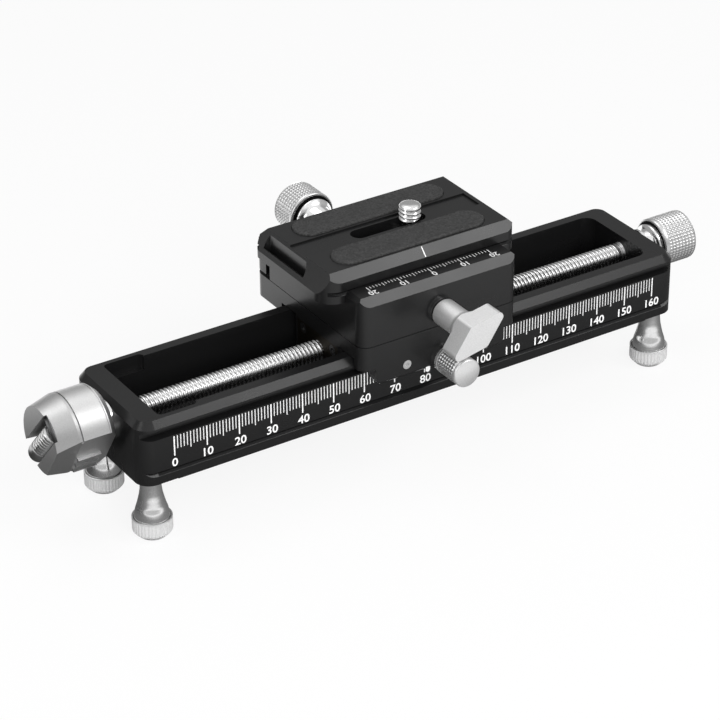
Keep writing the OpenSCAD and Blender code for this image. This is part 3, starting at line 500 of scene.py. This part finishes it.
def fine_collar():
    """The polished collar between the bearing and the fine knob, flared to a ring."""
    low, high = box_mm("fine_collar")
    length, ring_r, neck_r = high[0] - low[0], high[1], 4.3
    flare = [(2.1, 4.35), (2.7, 5.0), (3.0, 5.9)]
    ring_start, ring_end, edge, edge_drop = 3.25, 3.65, 0.05, 0.5
    rows = [(0, JOURNAL_R), (0, neck_r)] + flare + [(ring_start, ring_r), (ring_end, ring_r)]
    rows += [(ring_end + edge, ring_r - edge_drop), (ring_end + edge, neck_r)]
    rows += [(length, neck_r), (length, JOURNAL_R)]
    collar = turned("fine_collar_turned", (low[0], 0, SCREW_Z), ALONG_RAIL, rows, POLISH, around=72)
    ride(collar, "screw", "silver", "fine_collar")


def crank_handle():
    """The folding handle: its ribbed grip, its axle with the domed cap, and its hinge."""
    radius, bore_r, end_r, axle_r = 3.0, 1.74, 2.6, 1.7
    centre = Vector((box_mm("crank_arm")[1][0] - radius, 0, SCREW_Z))

    start, end, pitch, inset, rib_depth, roundness, steps = -4.2, 6.9, 1.6, 0.15, 0.42, 0.6, 60
    rows = [(start, bore_r), (start, end_r)]
    for a in between(start + inset, end - inset, steps):
        wave = math.sin(math.pi * ((a - start) / pitch % 1.0))
        rows.append((a, radius - rib_depth * (1.0 - wave ** roundness)))
    rows += [(end, end_r), (end, bore_r), (start, bore_r)]
    grip = turned("crank_grip_ribbed", centre, TOWARDS_OPENING, rows, STEEL, around=40, angle=60)
    ride(grip, "handle_grip", "silver", "crank_grip")

    axle_start, cap_start, cap_edge, dome_start = -4.35, 7.0, 0.2, 11.1
    dome = [(0.55, 2.9), (1.2, 2.55), (1.8, 1.86), (2.12, 0.96), (2.2, 0.0)]
    rows = [(axle_start, 0.0), (axle_start, axle_r), (cap_start, axle_r), (cap_start, radius - cap_edge)]
    rows += [(cap_start + cap_edge, radius), (dome_start, radius)] + [(dome_start + a, r) for a, r in dome]
    cap = turned("crank_arm_cap", centre, TOWARDS_OPENING, rows, CAP, around=48)
    ride(cap, "crank_handle", "dark_steel", "crank_arm")

    from_hinge, half, edge, pin_r, eye_r = 6.6, 3.85, 0.15, 0.95, 2.1
    hinge = centre - TOWARDS_OPENING * from_hinge
    rows = [(-half, pin_r), (-half, eye_r - edge), (edge - half, eye_r), (half - edge, eye_r)]
    rows += [(half, eye_r - edge), (half, pin_r), (-half, pin_r)]
    ride(turned("crank_arm_eye", hinge, ACROSS_SLOT, rows, DARK, around=48), "crank_handle", "dark_steel")

    root_start, root_end = -5.55, -4.3
    rows = [(root_start, 0.0), (root_start, eye_r), (root_end, eye_r), (root_end, 0.0)]
    root = turned("crank_arm_root", centre, TOWARDS_OPENING, rows, DARK, around=48)
    ride(root, "crank_handle", "dark_steel")


# The locks and the clamp

def clamp_knob():
    """The knurled knob behind the clamp, with its neck, polished ring and painted shade on the floor of its
    recess.
    """
    low, high = box_mm("clamp_knob")
    neck, end, radius, length = low[1], high[1], (high[0] - low[0]) / 2, 9.6
    knob = end - length
    knurl_start, knurl_to_face, cells, depth = 1.2, 0.5, (46, 7), 0.26
    span = (knob + knurl_start, end - knurl_to_face)
    bore_r, neck_r, neck_edge, edge_drop = 2.4, 4.4, 0.3, 0.2
    flare = [(-2.6, neck_r), (-2.0, 5.0), (-1.4, 5.9), (-1.0, 6.05), (-0.7, 5.9)]
    hub_r, recess_r, recess_depth, slope = 4.6, 6.5, 0.45, 0.1
    ring_back = flare[-1][0]
    before = [(neck, bore_r), (neck, neck_r - edge_drop), (neck + neck_edge, neck_r)]
    before += [(knob + a, r) for a, r in flare]
    before += [(knob + ring_back, hub_r), (knob + recess_depth, hub_r), (knob + recess_depth, recess_r)]
    before += [(knob, recess_r + slope)] + knob_near_edge(knob, span[0], radius)
    after = knob_far_edge(span[1], end, radius)
    origin = (CARRIAGE_X, 0, CLAMP_Z)
    piece = knurled("clamp_knob_knurl", origin, BACKWARDS, before, span, after, radius, cells, depth)

    margin = 0.05

    def in_recess(place):
        from_axis = math.hypot(place.x - CARRIAGE_X, place.z - CLAMP_Z)
        behind_ring = place.y - knob >= ring_back + margin
        return behind_ring and place.y - knob < recess_depth + margin and from_axis < recess_r + margin

    paint(piece, POLISH, lambda place: place.y - knob < ring_back + margin)
    # The floor of the recess is painted black as painted shade.
    paint(piece, BLACK_SHADE, in_recess)
    ride(piece, "jaw_knob", "silver", "clamp_knob")


def travel_lock():
    """The small knurled knob on the apron, with its stud and its smooth, grooved face."""
    x, _, z = middle("travel_lock_washer")
    start = box_mm("travel_lock_washer")[0][1] - WASHER_GAP
    stud, stud_r, seat_r, seat_depth = -5.05, 1.1, 3.5, 0.5
    radius, length = 4.25, 10.0
    span, cells, depth = (0.9, 8.3), (26, 7), 0.24
    groove_start, groove_end, groove_depth, face_start, face_end = 8.6, 8.75, 0.35, 9.0, 9.7
    face_step, face_edge, land, step, rounding = 0.05, 0.4, 0.1, 0.1, 0.02
    face_r = radius - face_step
    before = [(stud, 0.0), (stud, stud_r), (0, stud_r), (0, seat_r), (seat_depth, radius - step)]
    before += [(span[0] - land, radius - rounding)]
    after = [(groove_start, radius - groove_depth), (groove_end, radius - groove_depth)]
    after += [(face_start, face_r), (face_end, face_r), (length, radius - face_edge), (length, 0.0)]
    knob = knurled("travel_lock_knurl", (x, start, z), FORWARDS, before, span, after, radius, cells, depth)
    paint(knob, SATIN, lambda place: start - place.y > groove_start - rounding)
    ride(knob, "travel_lock", "silver", "travel_lock_knob")


def pan_lock_root():
    """Where the pan lock's stem widens into its wing, and a dark band of painted shade for the gap behind
    the stem.
    """
    tip, waist, rounding = Vector((6.4, 4.15)), Vector((-1.9, 2.5)), 1.38
    wing = [tip, waist, -tip, -waist]
    stem_r, widening, steps, length = 3.91, 1.3, 10, 2.2
    seat, seat_r, floor, floor_r = -0.3, 3.8, 2.3, 5.2
    from_wing_front = 8.3
    safe_r, halvings = 3.0, 18

    def inside(radius, turn):
        place = Vector((-radius * math.cos(turn), -radius * math.sin(turn)))
        nearest, within = math.inf, True
        for corner, following in zip(wing, wing[1:] + wing[:1]):
            side, offset = following - corner, place - corner
            share = max(0.0, min(1.0, offset.dot(side) / side.dot(side)))
            nearest = min(nearest, (offset - share * side).length)
            within = within and side.x * offset.y - side.y * offset.x >= 0
        return within or nearest < rounding

    def stay_inside(turn, distance, radius):
        if inside(radius, turn):
            return radius
        low, high = safe_r, radius
        for _ in range(halvings):
            half = (low + high) / 2
            low, high = (half, high) if inside(half, turn) else (low, half)
        return low

    rows = [(seat, seat_r)]
    rows += [(length * i / steps, stem_r + widening * (i / steps) ** 2) for i in range(steps + 1)]
    rows += [(floor, floor_r), (floor, 0.0)]
    start = box_mm("pan_lock_handle")[0][1] + from_wing_front
    origin = (CARRIAGE_X, start, CLAMP_Z)
    root = turned("pan_lock_wing_root", origin, FORWARDS, rows, SATIN, around=96, relief=stay_inside)
    ride(root, "pan_lock", "silver")

    # A black band of painted shade in the gap between the washer and the stem.
    band_start = box_mm("pan_lock_washer")[0][1] - WASHER_GAP
    inner, outer, width = 3.2, 3.94, 0.5
    rows = [(0, inner), (0, outer), (width, outer), (width, inner)]
    origin = (CARRIAGE_X, band_start, CLAMP_Z)
    band = turned("pan_lock_gap_shade", origin, FORWARDS, rows, BLACK_SHADE, around=64)
    ride(band, "pan_lock", "black")


def jaw():
    """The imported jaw, with the slope behind its top that hides it behind the plate in the photograph."""
    run, drop, sharp_angle = 6.75, 5.0, 20
    high = box_mm("clamp_jaw")[1]
    work = bmesh.new()
    work.from_mesh(NODES["clamp_jaw"].data)
    bmesh.ops.remove_doubles(work, verts=work.verts, dist=MERGE_M)
    everything = list(work.verts) + list(work.edges) + list(work.faces)
    start = Vector((0, high[1] - run, high[2])) * MM
    slope = Vector((0, drop, run)).normalized()
    cut = bmesh.ops.bisect_plane(work, geom=everything, plane_co=start, plane_no=slope, clear_outer=True)
    rim = [part for part in cut["geom_cut"] if isinstance(part, bmesh.types.BMEdge)]
    bmesh.ops.contextual_create(work, geom=rim)
    bmesh.ops.recalc_face_normals(work, faces=work.faces)
    mesh = bpy.data.meshes.new("clamp_jaw_sloped")
    work.to_mesh(mesh)
    work.free()
    mesh.materials.append(BLACK)
    smooth(mesh, sharp_angle)
    ride(new_object("clamp_jaw_sloped", mesh), "jaw", "black", "clamp_jaw")


def plate_rim():
    """The rim that closes the pocket at the plate's crank end."""
    run, rise, thickness, above_plate_bottom, to_front, to_back = 0.64, 1.36, 0.3, 2.3, 6.15, 14.85
    bottom, front, back = PLATE_LOW[2] + above_plate_bottom, PLATE_Y - to_front, PLATE_Y + to_back
    outside = PLATE_LOW[0]
    inside = outside + run + thickness
    section = [(outside, bottom), (outside + run, bottom + rise), (inside, bottom + rise), (inside, bottom)]
    points = [(x, y, z) for y in (front, back) for x, z in section]
    count = len(section)
    faces = [tuple(range(count)), tuple(range(count, 2 * count))]
    faces += [(i, (i + 1) % count, (i + 1) % count + count, i + count) for i in range(count)]
    ride(piece_from("quick_plate_tail_rim", points, faces, BLACK), "plate", "black")


# The feet

def foot_stem(tag, origin):
    """A flared, polished stem. Its outline is drawn through listed stations and then evened out."""
    stud, stud_r, seat = -4.0, 1.95, -0.2
    stations = [(seat, 2.85), (2.4, 2.92), (4.7, 3.18), (6.2, 3.5), (8.2, 4.0), (9.7, 4.5), (11.6, 4.92),
                (12.3, STEM_R)]
    steps, passes, end = 4, 3, 14.9
    rows = [(stud, 0.0), (stud, stud_r), (seat, stud_r), stations[0]]
    for (a, r), (b, s) in zip(stations, stations[1:]):
        rows += [(a + (b - a) * i / steps, r + (s - r) * i / steps) for i in range(1, steps + 1)]
    for _ in range(passes):
        neighbours = zip(rows[4:-2], rows[5:-1], rows[6:])
        rows[5:-1] = [(b[0], (a[1] + 2 * b[1] + c[1]) / 4) for a, b, c in neighbours]
    rows += [(end, STEM_R), (end, 0.0)]
    stem = turned("foot_stem_turned_" + tag, origin, DOWNWARDS, rows, POLISH, around=64)
    ride(stem, "rail", "foot_steel", "foot_stem_" + tag)


def foot_cup(tag, origin):
    """A ribbed cup with a bevel down to its sole."""
    radius, sole, ribs = 5.6, -SOLE_Z, 34
    rib_start, rib_end, rib_depth = 12.35, 17.05, 0.24
    hollow = [(13.7, STEM_R), (12.4, 5.17), (12.15, 5.22), (12.1, 5.3), (12.1, 5.45), (12.2, radius)]
    straight_start, straight_end, steps = 12.3, 16.05, 10
    shoulder, bevel_start, bevel_stations = [(16.2, 5.56), (16.35, 5.46)], 16.22, (16.6, 17.0, 17.4, 17.75)
    heel = [(17.92, 3.88), (sole, 3.7), (sole, 0.0)]
    rows = hollow + [(a, radius) for a in between(straight_start, straight_end, steps)] + shoulder
    rows += [(a, radius - (a - bevel_start)) for a in bevel_stations] + heel
    relief = straight_knurl(rib_start, rib_end, ribs, rib_depth)
    around = ribs * KNURL_SAMPLES
    cup = turned("foot_cup_knurl_" + tag, origin, DOWNWARDS, rows, CUP, around=around, relief=relief)
    plain_below, plain_above = 17.1, 12.25
    paint(cup, SATIN, lambda place: place.z < -plain_below or place.z > -plain_above)
    ride(cup, "rail", "silver", "foot_cup_" + tag)


def feet():
    for tag in ("fl", "fr", "bl", "br"):
        x, y, _ = middle("foot_stem_" + tag)
        foot_stem(tag, (x, y, 0))
        foot_cup(tag, (x, y, 0))


# What holds the camera

def camera_screw():
    """The quarter-inch screw, with the flange and the socket under the plate."""
    x, y, _ = middle("camera_screw_clip")
    pitch, radius, depth, flank_share, run_out = 1.27, 3.175, 0.6, 0.75, 0.4
    shank_end, crown_start, lead_in, land, steps = 8.0, 0.9, 0.3, 0.05, 30
    shank_r, flange_r, flange_height, flange_edge, bottom_drop = 2.35, 5.0, 2.2, 0.2, 0.3
    socket_r, socket_mouth_r, socket_tip_r, socket_depth = 2.0, 2.3, 1.4, 1.0
    crown = [(0.6, 3.05), (0.3, 2.7), (0.1, 2.1), (0.02, 1.2), (0.0, 0.0)]
    bottom, tip = (corner[2] for corner in box_mm("camera_screw"))
    flange_top, socket_top = bottom + flange_height, bottom + socket_depth
    thread_start, thread_end = bottom + shank_end, tip - crown_start

    def thread(turn, z, r):
        if z < thread_start - SLACK or z > thread_end:
            return r
        phase = (z / pitch + turn / FULL_TURN) % 1.0
        flank = min(1.0, (1.0 - abs(2 * phase - 1)) / flank_share)
        return r - depth * min(1.0, (thread_end - z) / run_out) * (1.0 - flank)

    rows = [(bottom, 0.0), (socket_top, socket_tip_r), (socket_top, socket_r), (bottom, socket_mouth_r)]
    rows += [(bottom, flange_r - bottom_drop), (bottom + flange_edge, flange_r)]
    rows += [(flange_top - flange_edge, flange_r)]
    rows += [(flange_top, flange_r - flange_edge), (flange_top, shank_r)]
    rows += [(thread_start - lead_in, shank_r), (thread_start, radius)]
    rows += [(z, radius) for z in between(thread_start + land, thread_end, steps)]
    rows += [(tip - below, r) for below, r in crown]
    origin = (x, y, 0)
    screw = turned("camera_screw_thread", origin, UPWARDS, rows, POLISH, around=40, relief=thread, angle=60)
    ride(screw, "mount_screw", "steel", "camera_screw")


def pad(tag):
    """A rubber pad with round ends, a rounded rim and a pebbled top."""
    low, high = box_mm(tag)
    centre_x, centre_y, _ = middle(tag)
    half_length, radius = (high[0] - low[0]) / 2, (high[1] - low[1]) / 2
    straight = half_length - radius
    columns, rows, edge_inset = 148, 30, 0.002
    rim_width, rim_drop, top_inset = 0.5, 0.28, 0.06
    pebbles_per_mm, pebble_depth, pebble_slope, plane = 1.15, 0.22, 1.9, 0.37
    swell_height, swell_share, shift_per_mm = 0.05, 2.3, 3.1
    shift = (centre_y - PLATE_Y) * shift_per_mm

    def height(u, v):
        past_straight = max(0.0, abs(u) - straight)
        from_edge = radius - math.hypot(past_straight, v)
        rim = max(0.0, min(1.0, from_edge / rim_width))
        place = Vector((u * pebbles_per_mm + shift, v * pebbles_per_mm, plane))
        nearest = noise.voronoi(place)[0]
        pebble = min(1.0, (nearest[1] - nearest[0]) * pebble_slope)
        drop = top_inset + pebble_depth * (1 - pebble) + rim_drop * (1 - rim) ** 2
        return min(high[2], high[2] - drop + swell_height * noise.noise(place * swell_share))

    points, grid = [], {}
    for j in range(rows + 1):
        v = max(edge_inset - radius, min(radius - edge_inset, 2 * radius * j / rows - radius))
        reach = straight + math.sqrt(radius * radius - v * v)
        for i in range(columns + 1):
            u = 2 * reach * i / columns - reach
            grid[i, j] = len(points)
            points.append((centre_x + u, centre_y + v, height(u, v)))
    faces = []
    for j in range(rows):
        for i in range(columns):
            faces.append((grid[i, j], grid[i + 1, j], grid[i + 1, j + 1], grid[i, j + 1]))
    border = [grid[i, 0] for i in range(columns)] + [grid[columns, j] for j in range(rows)]
    border += [grid[i, rows] for i in range(columns, 0, -1)] + [grid[0, j] for j in range(rows, 0, -1)]
    below = list(range(len(points), len(points) + len(border)))
    points += [(*points[k][:2], low[2]) for k in border]
    for k in range(len(border)):
        m = (k + 1) % len(border)
        faces.append((border[k], below[k], below[m], border[m]))
    faces.append(tuple(below))
    ride(piece_from(tag + "_pebbled", points, faces, RUBBER, angle=60), "plate", "rubber", tag)


# Printed and engraved marks

def flat_mesh(quads):
    """A mesh of separate four-cornered marks."""
    mesh = bpy.data.meshes.new("marks")
    faces = [tuple(range(4 * i, 4 * i + 4)) for i in range(len(quads))]
    mesh.from_pydata(to_metres([corner for quad in quads for corner in quad]), [], faces)
    return mesh


def figure_mesh(text, height, centre, reading, upright, squeeze):
    """A figure drawn flat about its centre, reading along one direction with its top towards another."""
    capital_share, boldness, curve_steps = 0.72, 0.022, 4
    curve = bpy.data.curves.new("fig", "FONT")
    curve.body = text
    curve.size = height / capital_share
    curve.align_x = "CENTER"
    curve.align_y = "CENTER"
    curve.offset = boldness * height
    curve.resolution_u = curve_steps
    drawn = new_object("fig", curve)
    graph = bpy.context.evaluated_depsgraph_get()
    mesh = bpy.data.meshes.new_from_object(drawn.evaluated_get(graph))
    bpy.data.objects.remove(drawn)
    across_x = [vertex.co.x for vertex in mesh.vertices]
    across_y = [vertex.co.y for vertex in mesh.vertices]
    middle_x, middle_y = (min(across_x) + max(across_x)) / 2, (min(across_y) + max(across_y)) / 2
    scale = height / (max(across_y) - min(across_y))
    for vertex in mesh.vertices:
        along = Vector(reading) * (vertex.co.x - middle_x) * scale * squeeze
        up = Vector(upright) * (vertex.co.y - middle_y) * scale
        vertex.co = (Vector(centre) + along + up) * MM
    return mesh


def join_marks(name, meshes, material, body):
    points, faces = [], []
    for mesh in meshes:
        first = len(points)
        points += [tuple(vertex.co) for vertex in mesh.vertices]
        faces += [tuple(first + i for i in face.vertices) for face in mesh.polygons]
        bpy.data.meshes.remove(mesh)
    joined = bpy.data.meshes.new(name)
    joined.from_pydata(points, [], faces)
    joined.materials.append(material)
    ride(new_object(name, joined), body, "silver")


def mark_size(value, tens, fives, ones):
    """The (length, half width) of the mark at a value of a scale."""
    return tens if value % 10 == 0 else fives if value % 5 == 0 else ones


def rail_scale():
    """The scale of 160 mm along the rail's front."""
    last, zero_x, top = 160, -79.5, 13.6
    tens, fives, ones = (6.05, 0.19), (4.9, 0.15), (4.0, 0.14)
    figure_z, figure_shift, figure_height, squeeze = 5.55, 0.3, 2.55, 1.07
    y = RAIL_FRONT - MARK_HEIGHT
    bold, fine = [], []
    for value in range(last + 1):
        x = zero_x + value
        length, half = mark_size(value, tens, fives, ones)
        low = top - length
        corners = [(x - half, y, low), (x + half, y, low), (x + half, y, top), (x - half, y, top)]
        (bold if value % 10 == 0 else fine).append(corners)
    marks = [flat_mesh(bold)]
    for value in range(0, last + 1, 10):
        centre = (zero_x + value + (figure_shift if value else 0.0), y, figure_z)
        marks.append(figure_mesh(str(value), figure_height, centre, ALONG_RAIL, UPWARDS, squeeze))
    join_marks("rail_scale_marks", marks, WHITE, "rail")
    join_marks("rail_scale_fine_marks", [flat_mesh(fine)], FINE_WHITE, "rail")


def shelf_scale():
    """The clamp's scale of 20 mm each way; its figures are read from behind."""
    last, back, shift = 20, -16.05, -0.15
    tens, fives, ones = (2.3, 0.12), (1.7, 0.09), (1.15, 0.09)
    figure_y, figure_height, squeeze = -19.55, 2.1, 1.0
    z = SHELF_Z + MARK_HEIGHT
    quads = []
    for value in range(-last, last + 1):
        x = CARRIAGE_X + shift + value
        length, half = mark_size(value, tens, fives, ones)
        front = back - length
        quads.append([(x - half, front, z), (x + half, front, z), (x + half, back, z), (x - half, back, z)])
    marks = [flat_mesh(quads)]
    for value in range(-last, last + 1, 10):
        centre = (CARRIAGE_X + value, figure_y, z)
        marks.append(figure_mesh(str(abs(value)), figure_height, centre, TOWARDS_CRANK, FORWARDS, squeeze))
    join_marks("shelf_scale_marks", marks, WHITE, "clamp")


def plate_index():
    """The index line on the plate's front bevel."""
    above_plate_bottom, start, end, shift, half, bevel_share = 6.2, 0.12, 2.3, 0.3, 0.17, 0.7
    x, bevel_z, lift = CARRIAGE_X + shift, PLATE_LOW[2] + above_plate_bottom, MARK_HEIGHT * bevel_share
    corners = []
    for side, along in ((-half, start), (half, start), (half, end), (-half, end)):
        corners.append((x + side, PLATE_LOW[1] + along - lift, bevel_z + along + lift))
    join_marks("plate_index_mark", [flat_mesh([corners])], WHITE, "plate")


def carriage_index():
    """The index mark on the apron: a short bar with a round lower end."""
    x, z, radius, top, steps = -1.15, 10.95, 0.72, 11.9, 8
    y = CARRIAGE_FRONT - MARK_HEIGHT
    quads = [[(x - radius, y, z), (x + radius, y, z), (x + radius, y, top), (x - radius, y, top)]]
    turns = between(0.0, math.pi / 2, steps)
    for turn, following in zip(turns, turns[1:]):
        wide, narrow = radius * math.cos(turn), radius * math.cos(following)
        upper, lower = z - radius * math.sin(turn), z - radius * math.sin(following)
        below = [(x - narrow, y, lower), (x + narrow, y, lower)]
        above = [(x + wide, y, upper), (x - wide, y, upper)]
        quads.append(below + above)
    join_marks("carriage_index_mark", [flat_mesh(quads)], WHITE, "slider")


# Floor, world, lights and camera

def floor():
    """A pale floor. Gloss sees it as a glowing strip from front to back, a painted reflection: dark under
    and just behind the rail, standing in for the object's own shade, and bright further off.
    """
    half_size_m, below_soles, camera_share, base, rough = 4.0, 0.02, 0.88, (0.9, 0.9, 0.9, 1), 0.9
    strip_half_width_m, strip_strength = 0.12, 1.5
    painted_reflection_tones = [(0.0, 0.67), (0.125, 0.53), (0.25, 0.25), (0.333, 0.17), (0.5, 0.11), (0.6, 0.055),
             (0.74, 0.055), (0.84, 0.95), (1.0, 0.95)]
    material, tree, surface = new_material("floor_white")
    feed(tree, surface, {"Base Color": base, "Roughness": rough, "Specular IOR Level": 0.0})
    rays = shader(tree, "LightPath", {}).outputs
    white = shader(tree, "Emission", {"Color": (1, 1, 1, 1), "Strength": 1.0})
    seen = shader(tree, "Math", {0: rays["Is Camera Ray"], 1: camera_share}, operation="MULTIPLY")
    lit = mix_shaders(tree, seen.outputs[0], surface.outputs["BSDF"], white.outputs["Emission"])
    place = shader(tree, "TexCoord", {}).outputs["Object"]
    along = shader(tree, "SeparateXYZ", {"Vector": place}).outputs["Y"]
    reach = {"From Min": -strip_half_width_m, "From Max": strip_half_width_m}
    depth = shader(tree, "MapRange", {"Value": along, **reach}).outputs["Result"]
    # The floor as gloss sees it is painted reflection: dark near the rail for the object's own shade,
    # bright further off.
    tone = ramp(tree, depth, [(position, grey(shade)) for position, shade in painted_reflection_tones])
    strip = shader(tree, "Emission", {"Color": tone, "Strength": strip_strength})
    mixed = mix_shaders(tree, rays["Is Glossy Ray"], lit, strip.outputs["Emission"])
    feed(tree, tree.nodes["Material Output"], {"Surface": mixed})

    mesh = bpy.data.meshes.new("floor")
    corners = [(x * half_size_m, y * half_size_m, 0) for x, y in ((-1, -1), (1, -1), (1, 1), (-1, 1))]
    mesh.from_pydata(corners, [], [(0, 1, 2, 3)])
    mesh.materials.append(material)
    made = new_object("floor", mesh)
    made.location = (0, 0, (SOLE_Z - below_soles) * MM)


def world():
    """White to the camera, soft grey as light, and to gloss brighter in front and above."""
    light_colour, light_strength = (0.62, 0.62, 0.62, 1), 0.45
    front_to_back = {"From Min": -0.6, "From Max": 0.6, "To Min": 0.68, "To Max": 0.45}
    upwards = {"From Min": 0.54, "From Max": 0.7, "To Max": 0.6}
    made = bpy.data.worlds.new("studio")
    made.use_nodes = True
    bpy.context.scene.world = made
    tree = made.node_tree
    light = tree.nodes["Background"]
    feed(tree, light, {"Color": light_colour, "Strength": light_strength})
    white = shader(tree, "Background", {"Color": (1, 1, 1, 1), "Strength": 1.0})
    rays = shader(tree, "LightPath", {}).outputs
    place = shader(tree, "TexCoord", {}).outputs["Generated"]
    parts = shader(tree, "SeparateXYZ", {"Vector": place}).outputs
    front = shader(tree, "MapRange", {"Value": parts["Y"], **front_to_back}).outputs["Result"]
    above = shader(tree, "MapRange", {"Value": parts["Z"], **upwards}).outputs["Result"]
    both = shader(tree, "Math", {0: front, 1: above}, operation="ADD").outputs[0]
    gloss = shader(tree, "Background", {"Strength": both})
    soft, bright, plain = (node.outputs["Background"] for node in (light, gloss, white))
    unseen = mix_shaders(tree, rays["Is Glossy Ray"], soft, bright)
    mixed = mix_shaders(tree, rays["Is Camera Ray"], unseen, plain)
    feed(tree, tree.nodes["World Output"], {"Surface": mixed})


def area_light(name, place, width, height, power):
    """A soft box, in metres and watts, that faces the middle of the rail."""
    target = Vector((0, 0, 0.02))
    lamp = bpy.data.lights.new(name, "AREA")
    lamp.shape = "RECTANGLE"
    lamp.size = width
    lamp.size_y = height
    lamp.energy = power
    made = new_object(name, lamp)
    made.location = place
    made.rotation_euler = (target - Vector(place)).to_track_quat("-Z", "Y").to_euler()
    return made


def lights():
    """A fill in front that gloss does not see, and three soft boxes."""
    fill = area_light("front_fill", (-0.3, -0.9, 0.5), width=0.8, height=0.6, power=9.0)
    fill.visible_glossy = False
    area_light("bevel_box", (0.52, -0.56, 0.8), width=0.5, height=0.4, power=3.4)
    area_light("left_box", (-0.95, -0.1, 0.4), width=0.4, height=0.5, power=1.6)
    area_light("top_box", (-0.1, 0.3, 0.95), width=0.7, height=0.4, power=1.8)


def camera():
    """The photograph's camera, fitted to the rail's scale."""
    place = Vector((-378.66, -578.58, 403.38))
    yaw, pitch, roll = math.radians(32.795), math.radians(30.095), math.radians(0.281)
    picture_px, focal_px, centre_x_px, centre_y_px = 720.0, 2804.2, 368.76, 359.61
    sensor, clip_start_m = 36.0, 0.01
    ahead = Vector((math.sin(yaw) * math.cos(pitch), math.cos(yaw) * math.cos(pitch), -math.sin(pitch)))
    level_right = Vector((math.cos(yaw), -math.sin(yaw), 0.0))
    level_down = ahead.cross(level_right)
    right = level_right * math.cos(roll) + level_down * math.sin(roll)
    down = level_down * math.cos(roll) - level_right * math.sin(roll)
    pose = Matrix((right, -down, -ahead)).transposed().to_4x4()
    pose.translation = place * MM
    lens = bpy.data.cameras.new("camera")
    lens.sensor_width = sensor
    lens.lens = focal_px * sensor / picture_px
    lens.shift_x = (picture_px / 2 - centre_x_px) / picture_px
    lens.shift_y = (centre_y_px - picture_px / 2) / picture_px
    lens.clip_start = clip_start_m
    made = new_object("camera", lens)
    made.matrix_world = pose
    bpy.context.scene.camera = made


shown_as_packed()
lead_screw()
fine_knob()
fine_collar()
clamp_knob()
travel_lock()
jaw()
plate_rim()
pan_lock_root()
feet()
crank_handle()
camera_screw()
pad("front_pad")
pad("rear_pad")
rail_scale()
shelf_scale()
plate_index()
carriage_index()
floor()
world()
lights()
camera()
bpy.context.scene.view_settings.view_transform = "Standard"
